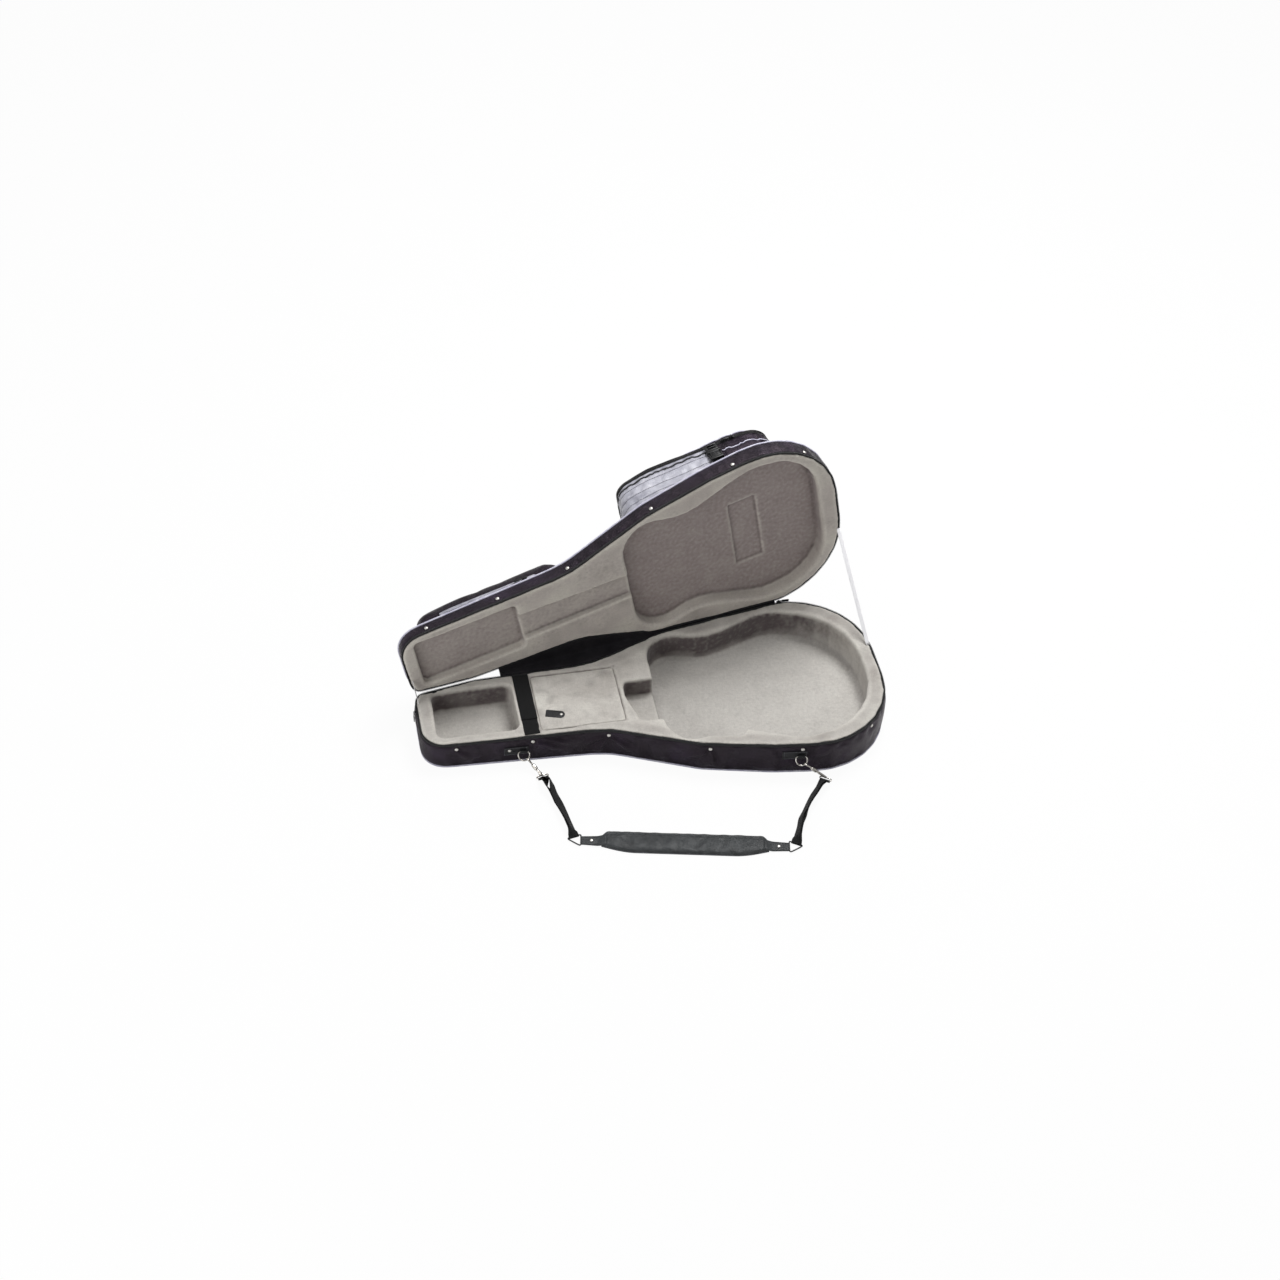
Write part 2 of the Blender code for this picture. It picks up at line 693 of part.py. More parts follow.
def build_neck_strap():
    reach = half_width(NECK_STRAP_X) - SIDE_WALL - 0.0020
    upper = -GAP - NECK_STRAP_THICKNESS / 2
    lower = upper - NECK_STRAP_THICKNESS - GAP
    for name, y0, y1, z in (
            ("neck_strap_back", reach, NECK_STRAP_BACK_END_Y, upper),
            ("neck_strap_front", -reach, NECK_STRAP_FRONT_END_Y, lower)):
        axis = pivot(name + "_axis", Vector((NECK_STRAP_X, y0, z)), BASE_FRAME)
        length = y1 - y0
        loop = rounded_box_loop(-NECK_STRAP_WIDTH / 2, NECK_STRAP_WIDTH / 2,
                                min(0, length), max(0, length), 0.003, 2)
        band = loft(name, [ring(loop, 0, -NECK_STRAP_THICKNESS / 2),
                           ring(loop, 0, NECK_STRAP_THICKNESS / 2)])
        finish(band, WEBBING, axis)


# Lid

def build_lid():
    panel = loft("lid_panel", [
        ring(OUTLINE, 0, above(lid_top, -PANEL_THICKNESS)),
        ring(OUTLINE, 0, above(lid_top, -EDGE_CHAMFER)),
        ring(OUTLINE, -EDGE_CHAMFER, lid_top),
    ])
    on_lid(panel, NYLON)
    wall = loft("lid_side_wall", [
        ring(OUTLINE, 0, ZIP_TAPE_HEIGHT + 2 * GAP),
        ring(OUTLINE, 0, above(lid_top, -PANEL_THICKNESS - GAP)),
        ring(OUTLINE, -SIDE_WALL, above(lid_top, -PANEL_THICKNESS - GAP)),
        ring(OUTLINE, -SIDE_WALL, ZIP_TAPE_HEIGHT + 2 * GAP),
    ], closed=True)
    on_lid(wall, NYLON)
    on_lid(zip_tape("lid_zip_tape", -1), BINDING)
    on_lid(piping("lid_piping", lid_top, -1), PIPING)
    build_lid_liner()


def build_lid_liner():
    roof = above(lid_top, -PANEL_THICKNESS - GAP)
    inset = -(SIDE_WALL + GAP)
    liner = loft("lid_liner", [
        ring(OUTLINE, inset - 0.0040, GAP),
        ring(OUTLINE, inset - 0.0012, 0.0010 + GAP),
        ring(OUTLINE, inset, 0.0030 + GAP),
        ring(OUTLINE, inset, roof),
    ])
    floor = above(lid_top, -PANEL_THICKNESS - LID_PAD)
    half = guitar_half(RECESS_START_X, RECESS_END_X, RECESS_SHOULDER, RECESS_WAIST,
                       RECESS_BELLY, RECESS_BUTT)
    body = offset(mirrored_loop(half), -RIM_ROUNDING * 0.3)
    cuts = [
        cavity("lid_body_cut", body, floor, -1, foot=0.006),
        cavity("lid_head_cut", rounded_box_loop(LID_HEAD_START_X, LID_HEAD_END_X,
               LID_HEAD_FRONT_Y, LID_HEAD_BACK_Y, 0.014), floor, -1, rim=0.006, foot=0.005),
        cavity("lid_channel_cut", rounded_polygon([
            (0.030, CHANNEL_HALF_BODY), (LID_HEAD_END_X - 0.02, CHANNEL_HALF_HEAD),
            (LID_HEAD_END_X - 0.02, -CHANNEL_HALF_HEAD), (0.030, -CHANNEL_HALF_BODY)], 0.004, 2),
            CHANNEL_DEPTH, -1, rim=0.004, foot=0.004),
        plain_cut("bridge_relief_cut", rounded_box_loop(RELIEF_START_X, RELIEF_END_X,
                  -RELIEF_HALF_WIDTH, RELIEF_HALF_WIDTH, 0.004, 2),
                  LID_DEPTH / 2, above(floor, RELIEF_DEPTH)),
    ]
    for cut in cuts:
        cut.parent = LID_FRAME
        cut.location = -HINGE_START
        boolean(liner, cut)
    on_lid(liner, PLUSH_LID)


def main_pocket_loop(start, draft):
    return offset(symmetric_loop([
        (MAIN_POCKET_END_X, 0, 0),
        (MAIN_POCKET_END_X, MAIN_POCKET_HALF_WIDTH, 0.070),
        (start + 0.085, MAIN_POCKET_HALF_WIDTH, 0.20),
        (start, MAIN_POCKET_NECK_HALF_WIDTH, 0.040),
        (start, 0, 0),
    ], 5), -draft)


def build_main_pocket():
    foot = main_pocket_loop(MAIN_POCKET_START_X, 0)
    head = main_pocket_loop(MAIN_POCKET_START_X + 0.012, MAIN_POCKET_DRAFT)
    face_at = MAIN_POCKET_DEPTH - POCKET_CLOTH
    zip_at = face_at - GAP - POCKET_ZIP_HEIGHT
    gusset = loft("main_pocket_gusset", [
        ring(foot, 0, above(lid_top, GAP)),
        ring(head, 0, above(lid_top, zip_at - GAP)),
        ring(head, -POCKET_CLOTH, above(lid_top, zip_at - GAP)),
        ring(foot, -POCKET_CLOTH, above(lid_top, GAP)),
    ], closed=True)
    on_lid(gusset, SILVER_CLOTH)
    band = loft("main_pocket_zip", [
        ring(head, -POCKET_CLOTH, above(lid_top, zip_at)),
        ring(head, POCKET_ZIP_PROUD, above(lid_top, zip_at)),
        ring(head, POCKET_ZIP_PROUD, above(lid_top, face_at - GAP)),
        ring(head, -POCKET_CLOTH, above(lid_top, face_at - GAP)),
    ], closed=True)
    on_lid(band, BINDING)
    face = loft("main_pocket_face", [
        ring(head, POCKET_ZIP_PROUD, above(lid_top, face_at)),
        ring(head, POCKET_ZIP_PROUD, above(lid_top, MAIN_POCKET_DEPTH - 0.001)),
        ring(head, POCKET_ZIP_PROUD - 0.001, above(lid_top, MAIN_POCKET_DEPTH)),
    ])
    on_lid(face, NYLON)


def flat_pocket_height(x):
    """How far the flat pocket stands over the main pocket's face: it rises from the neck end."""
    t = (x - FLAT_POCKET_START_X) / (0.5 * (FLAT_POCKET_END_X - FLAT_POCKET_START_X))
    t = min(1.0, max(0.0, t))
    return 0.006 + (FLAT_POCKET_DEPTH - 0.006) * t * t * (3 - 2 * t)


def flat_pocket_loop():
    return symmetric_loop([
        (FLAT_POCKET_END_X, 0, 0),
        (FLAT_POCKET_END_X, FLAT_POCKET_HALF_WIDTH, 0.060),
        ((FLAT_POCKET_START_X + FLAT_POCKET_END_X) / 2, FLAT_POCKET_HALF_WIDTH + 0.001, 0.3),
        (FLAT_POCKET_START_X, FLAT_POCKET_HALF_WIDTH - 0.004, 0.030),
        (FLAT_POCKET_START_X, 0, 0),
    ], 5)


def build_flat_pocket():
    """A cap of cloth, open towards the main pocket's face."""
    loop = flat_pocket_loop()

    def level(x, part, drop=0.0):
        return lid_top(x) + MAIN_POCKET_DEPTH + GAP + flat_pocket_height(x) * part - drop

    cap = loft("flat_pocket", [
        ring(loop, -POCKET_CLOTH - 0.012, lambda x: level(x, 1.0, POCKET_CLOTH)),
        ring(loop, -POCKET_CLOTH, lambda x: level(x, 0.55, POCKET_CLOTH * 0.6)),
        ring(loop, -POCKET_CLOTH, lambda x: level(x, 0)),
        ring(loop, 0, lambda x: level(x, 0)),
        ring(loop, 0, lambda x: level(x, 0.55)),
        ring(loop, -0.004, lambda x: level(x, 0.88)),
        ring(loop, -0.012, lambda x: level(x, 1.0)),
    ])
    on_lid(cap, NYLON)


def neck_pocket_loop():
    return symmetric_loop([
        (NECK_POCKET_END_X, 0, 0),
        (NECK_POCKET_END_X, NECK_POCKET_HALF_WIDTH, 0.045),
        (NECK_POCKET_START_X + 0.09, NECK_POCKET_HALF_WIDTH, 0.25),
        (NECK_POCKET_START_X, NECK_POCKET_HEAD_HALF_WIDTH, 0.038),
        (NECK_POCKET_START_X, 0, 0),
    ], 5)


def build_neck_pocket():
    """A padded cap of cloth over the neck, open towards the lid panel."""
    loop = neck_pocket_loop()

    def level(x, height):
        run_out = min(1.0, (NECK_POCKET_END_X + 0.012 - x) / 0.060)
        return lid_top(x) + GAP + height * (0.35 + 0.65 * max(0.0, run_out))

    depth = NECK_POCKET_DEPTH
    cap = loft("neck_pocket", [
        ring(loop, -POCKET_CLOTH - 0.016, lambda x: level(x, depth) - POCKET_CLOTH),
        ring(loop, -POCKET_CLOTH - 0.003, lambda x: level(x, depth * 0.72)),
        ring(loop, -POCKET_CLOTH, lambda x: level(x, 0)),
        ring(loop, 0, lambda x: level(x, 0)),
        ring(loop, 0, lambda x: level(x, depth * 0.45)),
        ring(loop, -0.003, lambda x: level(x, depth * 0.78)),
        ring(loop, -0.016, lambda x: level(x, depth)),
    ])
    on_lid(cap, NYLON)


# Zips of the pockets

def box(name, size, centre, bevel=0.0):
    """A box from Blender's cube, with its size applied and an optional rounded edge."""
    bpy.ops.mesh.primitive_cube_add(size=1)
    thing = bpy.context.active_object
    thing.name = name
    for vertex in thing.data.vertices:
        vertex.co = Vector((vertex.co.x * size[0], vertex.co.y * size[1], vertex.co.z * size[2]))
        vertex.co += Vector(centre)
    for group in list(thing.users_collection):
        group.objects.unlink(thing)
    if bevel:
        modifier = thing.modifiers.new("rounded_edges", "BEVEL")
        modifier.width = bevel
        modifier.segments = 1
    return thing


def cylinder(name, radius, length, sides=12):
    """A cylinder along local Z, with its middle at the origin."""
    bpy.ops.mesh.primitive_cylinder_add(vertices=sides, radius=radius, depth=length)
    thing = bpy.context.active_object
    thing.name = name
    for group in list(thing.users_collection):
        group.objects.unlink(thing)
    return thing


def slider_and_pull(prefix, seat, outward, along, frame, place):
    """A zip slider on a tape, and its pull on a pin across the tape.

    seat is the point of the tape's face, outward its normal and along the way the pull points.
    """
    across = outward.cross(along)
    basis = Matrix((along, across, outward)).transposed().to_4x4()
    body = box(prefix + "_slider", (SLIDER_LENGTH, SLIDER_WIDTH, SLIDER_THICKNESS),
               (0, 0, GAP + SLIDER_THICKNESS / 2), 0.0012)
    body.matrix_local = Matrix.Translation(seat) @ basis
    place(body, NICKEL)
    pin = seat + outward * (SLIDER_THICKNESS + 2 * GAP + PULL_THICKNESS / 2)
    axis = bpy.data.objects.new(prefix + "_pull_axis", None)
    PARTS.objects.link(axis)
    shift = HINGE_START if frame is LID_FRAME else Vector((0, 0, 0))
    axis.matrix_local = Matrix.Translation(pin - shift) @ basis
    axis.parent = frame
    half = PULL_WIDTH / 2
    loop = fillet([(PULL_LENGTH, 0, 0), (PULL_LENGTH, half, 0.002), (0, half * 0.7, 0.0015),
                   (0, -half * 0.7, 0.0015), (PULL_LENGTH, -half, 0.002), (PULL_LENGTH, 0, 0)], 3)[:-1]
    tab = loft(prefix + "_pull", [ring(loop, 0, -PULL_THICKNESS / 2),
                                  ring(loop, 0, PULL_THICKNESS / 2)])
    finish(tab, NICKEL, axis)


def build_pocket_zips():
    face = MAIN_POCKET_DEPTH - POCKET_CLOTH - POCKET_ZIP_HEIGHT / 2 - GAP
    outward = Vector((0, -1, 0))
    neckwards = Vector((-1, 0, -LID_TAPER)).normalized()
    x = 0.355
    y = -(MAIN_POCKET_HALF_WIDTH - MAIN_POCKET_DRAFT + POCKET_ZIP_PROUD)
    slider_and_pull("main_zip", Vector((x, y, lid_top(x) + face)), outward, neckwards,
                    LID_FRAME, on_lid)
    x = -0.215
    track = loft("neck_pocket_zip", neck_zip_rings())
    on_lid(track, SILVER_CLOTH)
    y = -(NECK_POCKET_HALF_WIDTH + GAP + POCKET_ZIP_PROUD)
    slider_and_pull("neck_zip", Vector((x, y, lid_top(x) + 0.011)), outward, neckwards,
                    LID_FRAME, on_lid)


def neck_zip_rings():
    """The straight zip along the front of the neck pocket, as a bar of four-cornered rings."""
    near = -(NECK_POCKET_HALF_WIDTH + GAP)
    far = near - POCKET_ZIP_PROUD
    rings = []
    for x in (NECK_POCKET_START_X + 0.11, -0.190):
        low = lid_top(x) + 0.007
        high = low + POCKET_ZIP_HEIGHT
        rings.append([Vector((x, near, low)), Vector((x, near, high)),
                      Vector((x, far, high)), Vector((x, far, low))])
    return rings


def build_case_zip_sliders():
    seat, along = wall_frame(END_SLIDER_X, 1)
    outward = Vector((-along.y, along.x, 0))
    face = Vector((seat.x, seat.y, 0)) + outward * ZIP_TAPE_PROUD
    face.z = -GAP - ZIP_TAPE_HEIGHT / 2
    slider_and_pull("butt_zip", face, outward, Vector((along.x, along.y, 0)), BASE_FRAME, on_base)
    face = Vector((-CASE_LENGTH / 2 - ZIP_TAPE_PROUD, HEAD_SLIDER_Y, -GAP - ZIP_TAPE_HEIGHT / 2))
    slider_and_pull("head_zip", face, Vector((-1, 0, 0)), Vector((0, 0, -1)), BASE_FRAME, on_base)


# Fittings made of wire

def wire(name, points, radius, cyclic=False, resolution=1):
    """A round wire along points, as a curve object with a bevel."""
    curve = bpy.data.curves.new(name, "CURVE")
    curve.dimensions = "3D"
    curve.bevel_depth = radius
    curve.bevel_resolution = resolution
    curve.use_fill_caps = True
    spline = curve.splines.new("POLY")
    spline.points.add(len(points) - 1)
    for target, point in zip(spline.points, points):
        target.co = (*point, 1.0)
    spline.use_cyclic_u = cyclic
    return bpy.data.objects.new(name, curve)


def arc_points(centre, radius, start, end, steps):
    """Points of an arc in the local XY plane, angles in degrees."""
    points = []
    for k in range(steps + 1):
        t = math.radians(start + (end - start) * k / steps)
        points.append(Vector((centre[0] + radius * math.cos(t), centre[1] + radius * math.sin(t), 0)))
    return points


def strap_axis_ends():
    """The middles of both D-ring bars, in the rim frame."""
    ends = []
    for x, drop in ((DRING_LEFT_X, DRING_LEFT_DROP), (DRING_RIGHT_X, DRING_RIGHT_DROP)):
        seat, along = wall_frame(x, -1)
        outward = Vector((along.y, -along.x))
        point = seat + outward * DRING_STANDOFF
        ends.append(Vector((point.x, point.y, -drop)))
    return ends


def basis_matrix(origin, x_axis, z_hint):
    """A placement whose local X is x_axis and whose local Z is as near z_hint as it can be."""
    x = x_axis.normalized()
    y = z_hint.cross(x).normalized()
    z = x.cross(y)
    return Matrix.Translation(origin) @ Matrix((x, y, z)).transposed().to_4x4()


# Turn a cylinder from local Z to local X, and to local Y
TURN_TO_X = Matrix.Rotation(math.pi / 2, 4, "Y")
TURN_TO_Y = Matrix.Rotation(math.pi / 2, 4, "X")


def sleeve_mount(name, seat, along, outward, bar_centre, bar_axis, length, height, shift):
    """A leatherette patch on the wall with a sleeve that a bar turns in."""
    up = Vector((0, 0, 1))
    plate = box(name, (length, PATCH_THICKNESS, height),
                (shift, GAP + PATCH_THICKNESS / 2, 0))
    place = Matrix.Translation(Vector((seat.x, seat.y, bar_centre.z))) @ Matrix(
        (along, outward, up)).transposed().to_4x4()
    plate.matrix_local = place
    bore = DRING_WIRE + GAP
    sleeve = cylinder(name + "_sleeve", bore + SLEEVE_WALL, SLEEVE_LENGTH)
    sleeve.matrix_local = basis_matrix(bar_centre, bar_axis, up) @ TURN_TO_X
    web_depth = (bar_centre - Vector((seat.x, seat.y, bar_centre.z))).length
    web = box(name + "_web", (SLEEVE_LENGTH * 0.9, web_depth, 2 * (bore + SLEEVE_WALL) * 0.8),
              (0, web_depth / 2 + GAP + 0.0002, 0))
    web.matrix_local = place
    plate = joined(name, [plate, web, sleeve])
    hole = cylinder(name + "_bore", bore, SLEEVE_LENGTH * 3)
    hole.matrix_local = basis_matrix(bar_centre, bar_axis, up) @ TURN_TO_X
    cutter(hole)
    hole.parent = BASE_FRAME
    boolean(plate, hole)
    return on_base(plate, VINYL, False)


def d_ring(name, bar_centre, bar_axis, hang, parent):
    """A D-ring: a straight bar along local X, and a bow that reaches along local Y."""
    half = DRING_BAR / 2
    bow = arc_points((0, DRING_REACH - half), half, 0, 180, 8)
    corner = 0.003
    points = [Vector((half - corner, 0, 0)), Vector((half, corner, 0))] + bow
    points += [Vector((-half, corner, 0)), Vector((-half + corner, 0, 0))]
    thing = wire(name, points, DRING_WIRE, cyclic=True)
    x = bar_axis.normalized()
    y = hang.normalized()
    thing.matrix_local = Matrix.Translation(bar_centre) @ Matrix(
        (x, y, x.cross(y))).transposed().to_4x4()
    return finish(thing, NICKEL, parent, False)


def snap_hook(side, eye, shoulder, ring_side, parent):
    """A snap hook whose eye takes a D-ring's bow and whose stem points at the swivel's shoulder.

    Local X runs from the middle of the eye to the swivel, and the eye lies in local XY.
    """
    place = basis_matrix(eye, shoulder - eye, ring_side)
    stem_start = HOOK_RADIUS + HOOK_STEM
    curl = arc_points((0, 0), HOOK_RADIUS, -62, -307, 9)
    stem = [Vector((stem_start, 0, 0)), Vector((HOOK_RADIUS * 1.25, -0.0005, 0))]
    hook = apply_modifiers(linked(wire("snap_hook_" + side, stem + curl, HOOK_WIRE)))
    barrel = cylinder("barrel", HOOK_BARREL_RADIUS, HOOK_BARREL_LENGTH)
    middle = stem_start + HOOK_BARREL_LENGTH / 2 - 0.004
    barrel.matrix_local = Matrix.Translation(Vector((middle, 0, 0))) @ TURN_TO_X
    hook = joined("snap_hook_" + side, [hook, barrel])
    hook.matrix_local = place
    finish(hook, NICKEL, parent)
    build_gate(side, place, parent)
    return place @ Vector((middle + HOOK_BARREL_LENGTH / 2, 0, 0))


def linked(thing):
    CUTTERS.objects.link(thing)
    return thing


def build_gate(side, place, parent):
    """The spring bolt that closes the hook's mouth, with its thumb stud."""
    line = HOOK_BARREL_RADIUS + GAP + GATE_RADIUS
    start = HOOK_RADIUS * 0.6 + HOOK_WIRE
    axis = bpy.data.objects.new("hook_gate_axis_" + side, None)
    PARTS.objects.link(axis)
    axis.matrix_local = place
    axis.parent = parent
    bolt = cylinder("hook_gate_" + side, GATE_RADIUS, GATE_LENGTH, 8)
    bolt.matrix_local = Matrix.Translation(Vector((start + GATE_LENGTH / 2, line, 0))) @ TURN_TO_X
    stud = cylinder("stud", 0.0014, 0.0040, 8)
    stud.matrix_local = Matrix.Translation(
        Vector((start + GATE_LENGTH - 0.0025, line + 0.0018, 0))) @ TURN_TO_Y
    gate = joined("hook_gate_" + side, [bolt, stud])
    finish(gate, NICKEL, axis)


def build_swivel(side, barrel_end, shoulder, bar, across, parent):
    """The eye behind the hook's barrel, with the bar that the webbing goes round."""
    reach = across * (WEBBING_WIDTH / 2 + SWIVEL_WIRE + 0.0008)
    corners = [shoulder - reach, bar - reach, bar + reach, shoulder + reach]
    frame = apply_modifiers(linked(wire("swivel_" + side, corners, SWIVEL_WIRE, cyclic=True)))
    run = shoulder - barrel_end
    pin = cylinder("pin", 0.0030, run.length - GAP)
    pin.matrix_local = basis_matrix(barrel_end + run.normalized() * (run.length + GAP) / 2,
                                    run, Vector((0, 0, 1))) @ TURN_TO_X
    swivel = joined("swivel_" + side, [frame, pin])
    finish(swivel, NICKEL, parent)


def flat_solid(name, outer, holes, thickness):
    """A flat outline with holes, as a 2D curve extruded by half its thickness each way."""
    curve = bpy.data.curves.new(name, "CURVE")
    curve.dimensions = "2D"
    curve.fill_mode = "BOTH"
    curve.extrude = thickness / 2
    for loop in [outer] + holes:
        spline = curve.splines.new("POLY")
        spline.points.add(len(loop) - 1)
        for target, point in zip(spline.points, loop):
            target.co = (point[0], point[1], 0, 1)
        spline.use_cyclic_u = True
    thing = apply_modifiers(linked(bpy.data.objects.new(name, curve)))
    return thing


def strap_loop_radius():
    return max(SWIVEL_WIRE, STRAP_RING_WIRE) + GAP


def webbing_loop(side, swivel_bar, adjuster_bar, parent):
    """Webbing doubled round the swivel's bar and the adjuster's bar, side view extruded."""
    run = adjuster_bar - swivel_bar
    flat = Vector((run.x, run.y, 0))
    length = flat.length
    place = Matrix.Translation(Vector((swivel_bar.x, swivel_bar.y, 0))) @ Matrix((
        flat.normalized(), Vector((0, 0, 1)),
        flat.normalized().cross(Vector((0, 0, 1))))).transposed().to_4x4()
    inner = strap_loop_radius()
    low = adjuster_bar.z
    centre = []
    for k in range(9):
        t = k / 8
        rise = max(0.0, 1 - t * 2.2)
        centre.append(Vector((length * t, low + (swivel_bar.z - low) * rise * rise * (3 - 2 * rise))))
    thing = flat_solid("strap_webbing_" + side, around(centre, inner + WEBBING_THICKNESS),
                       [around(centre, inner)], WEBBING_WIDTH)
    thing.matrix_local = place
    return finish(thing, WEBBING, parent)


def around(centre, distance):
    """An outline at a distance all round an open row of points, with round ends."""
    first = (centre[1] - centre[0]).normalized()
    last = (centre[-1] - centre[-2]).normalized()
    outline = []
    for p, q, r in zip([centre[0]] + centre, centre, centre[1:] + [centre[-1]]):
        d = (r - p).normalized()
        outline.append(q + Vector((d.y, -d.x)) * distance)
    outline += half_turn(centre[-1], last, distance)
    for p, q, r in reversed(list(zip([centre[0]] + centre, centre, centre[1:] + [centre[-1]]))):
        d = (r - p).normalized()
        outline.append(q + Vector((-d.y, d.x)) * distance)
    outline += half_turn(centre[0], -first, distance)
    return outline


def half_turn(point, direction, distance):
    """Three points of the round end that faces a direction."""
    start = math.atan2(direction.y, direction.x) - math.pi / 2
    points = []
    for k in (1, 2, 3):
        t = start + math.pi * k / 4
        points.append(point + Vector((math.cos(t), math.sin(t))) * distance)
    return points


def ring_corner(tab_bar, toward_case, outwards, swivel_bar):
    """Where the strap ring's two bars meet, and the middle of the bar that takes the webbing.

    Each bar is square to what it holds, so the corner follows the webbing's direction. The
    bars are long enough for the two folds to clear each other.
    """
    webbing_bar = tab_bar
    for step in range(12):
        run = (webbing_bar - swivel_bar).to_2d().normalized()
        away = Vector((-run.y, run.x, 0))
        if away.dot(outwards) < 0:
            away = -away
        fold = strap_loop_radius() + WEBBING_THICKNESS + GAP
        stand = fold / math.tan(away.angle(-toward_case) / 2) + WEBBING_WIDTH / 2
        corner = tab_bar + toward_case * stand
        webbing_bar = corner + away * stand
    return corner, webbing_bar, stand


def strap_ring(side, corner, tab_way, webbing_way, stand, parent):
    """A three-cornered wire ring: one bar takes the pad's tab, the next one the webbing."""
    reach = stand + WEBBING_WIDTH / 2 + STRAP_RING_WIRE + STRAP_RING_ROUNDING
    corners = [corner, corner + tab_way * reach, corner + webbing_way * reach]
    loop = rounded_polygon([(c.x, c.y) for c in corners], STRAP_RING_ROUNDING, 2)
    thing = wire("strap_ring_" + side, [Vector((p.x, p.y, corner.z)) for p in loop],
                 STRAP_RING_WIRE, cyclic=True)
    return finish(thing, NICKEL, parent, False)


def pad_tab(side, bar, pad_end, parent):
    """The leatherette tab that goes round the adjuster's bar and is riveted on the pad."""
    run = pad_end - bar
    length = run.length
    along = run.normalized()
    eye = strap_loop_radius()
    reach = eye + WEBBING_THICKNESS
    thick = TAB_THICKNESS / 2
    eye_end = eye + 0.0015
    top = [Vector((length, thick)), Vector((eye_end + 0.006, thick)), Vector((eye_end + 0.001, reach))]
    low = [Vector((p.x, -p.y)) for p in reversed(top)]
    outer = top + [Vector((0, reach)), Vector((-reach * 0.75, reach * 0.7)), Vector((-reach, 0)),
                   Vector((-reach * 0.75, -reach * 0.7)), Vector((0, -reach))] + low
    hole = [Vector((eye_end, eye)), Vector((0, eye)), Vector((-eye * 0.75, eye * 0.7)),
            Vector((-eye, 0)), Vector((-eye * 0.75, -eye * 0.7)), Vector((0, -eye)),
            Vector((eye_end, -eye))]
    thing = flat_solid("pad_tab_" + side, list(reversed(outer)), [list(reversed(hole))], WEBBING_WIDTH)
    thing.matrix_local = Matrix.Translation(bar) @ Matrix((
        along, Vector((0, 0, 1)), along.cross(Vector((0, 0, 1))))).transposed().to_4x4()
    return finish(thing, VINYL, parent)


def shoulder_pad(middle, along, parent):
    """The padded leatherette piece: a crowned middle, a thin sewn edge and drawn-in ends."""
    rings = []
    half = PAD_LENGTH / 2
    stations = (-1, -0.965, -0.90, -0.80, -0.66, -0.45, -0.2, 0.2, 0.45, 0.66, 0.80, 0.90, 0.965, 1)
    for s in stations:
        taper = min(1.0, (1 - abs(s)) / 0.26)
        wide = (TAB_WIDTH + 0.006 + (PAD_WIDTH - TAB_WIDTH - 0.006) * math.sin(taper * math.pi / 2)) / 2
        crown = PAD_EDGE + (PAD_THICKNESS - PAD_EDGE) * min(1.0, (1 - abs(s)) / 0.16)
        section = [(-1.0, 0.15), (-1.0, 0.85), (-0.86, 1.0), (-0.55, 1.0), (0, 1.0), (0.55, 1.0),
                   (0.86, 1.0), (1.0, 0.85), (1.0, 0.15), (0.86, 0.0), (0, 0.0), (-0.86, 0.0)]
        ring_points = []
        for across, up in section:
            top = PAD_EDGE if abs(across) > 0.84 else PAD_EDGE + (crown - PAD_EDGE) * (1 - across * across)
            ring_points.append(Vector((s * half, across * wide, up * top)))
        rings.append(ring_points)
    thing = loft("shoulder_pad", rings)
    thing.matrix_local = Matrix.Translation(middle) @ Matrix((
        along, Vector((0, 0, 1)).cross(along), Vector((0, 0, 1)))).transposed().to_4x4()
    return finish(thing, VINYL, parent)


def build_shoulder_strap():
    left, right = strap_axis_ends()
    axis = (right - left).normalized()
    for name, bar, x, shift in (("dring_patch_left", left, DRING_LEFT_X, -0.016),
                                ("dring_patch_right", right, DRING_RIGHT_X, -0.016)):
        seat, along = wall_frame(x, -1)
        outward = Vector((along.y, -along.x, 0))
        sleeve_mount(name, seat, Vector((along.x, along.y, 0)), outward, bar, axis,
                     PATCH_LENGTH, PATCH_HEIGHT, shift)

    world_left = RIM_TO_WORLD @ left
    world_right = RIM_TO_WORLD @ right
    world_axis = (world_right - world_left).normalized()
    swing = rotated_empty("shoulder_strap_axis", world_left, Quaternion())
    outward = Vector((world_axis.y, -world_axis.x, 0)).normalized()
    hang = outward * math.cos(DRING_HANG) - Vector((0, 0, 1)) * math.sin(DRING_HANG)
    hang = (hang - world_axis * hang.dot(world_axis)).normalized()
    lie = strap_loop_radius() + WEBBING_THICKNESS + GAP
    along = Vector((math.cos(PAD_TURN), math.sin(PAD_TURN), 0))
    toward_case = Vector((-along.y, along.x, 0))
    pad_middle = Vector((PAD_MIDDLE_X, PAD_MIDDLE_Y, lie)) - world_left
    for side, bar, swivel, sign in (("left", world_left, SWIVEL_LEFT, -1),
                                    ("right", world_right, SWIVEL_RIGHT, 1)):
        outwards = along * sign
        pad_end = pad_middle + outwards * (PAD_LENGTH / 2 + GAP)
        tab_bar = pad_end + outwards * TAB_LENGTH
        swivel_bar = swivel - world_left
        corner, webbing_bar, stand = ring_corner(tab_bar, toward_case, outwards, swivel_bar)
        strap_ring(side, corner, -toward_case, (webbing_bar - corner).normalized(), stand, swing)
        webbing_loop(side, swivel_bar, webbing_bar, swing)
        pad_tab(side, tab_bar, pad_end, swing)
        run = (webbing_bar - swivel_bar).to_2d().normalized().to_3d()
        hang_hook(side, bar - world_left, swivel_bar, run, world_axis, hang, swing)
    pad_middle.z = GAP - world_left.z
    shoulder_pad(pad_middle, along, swing)


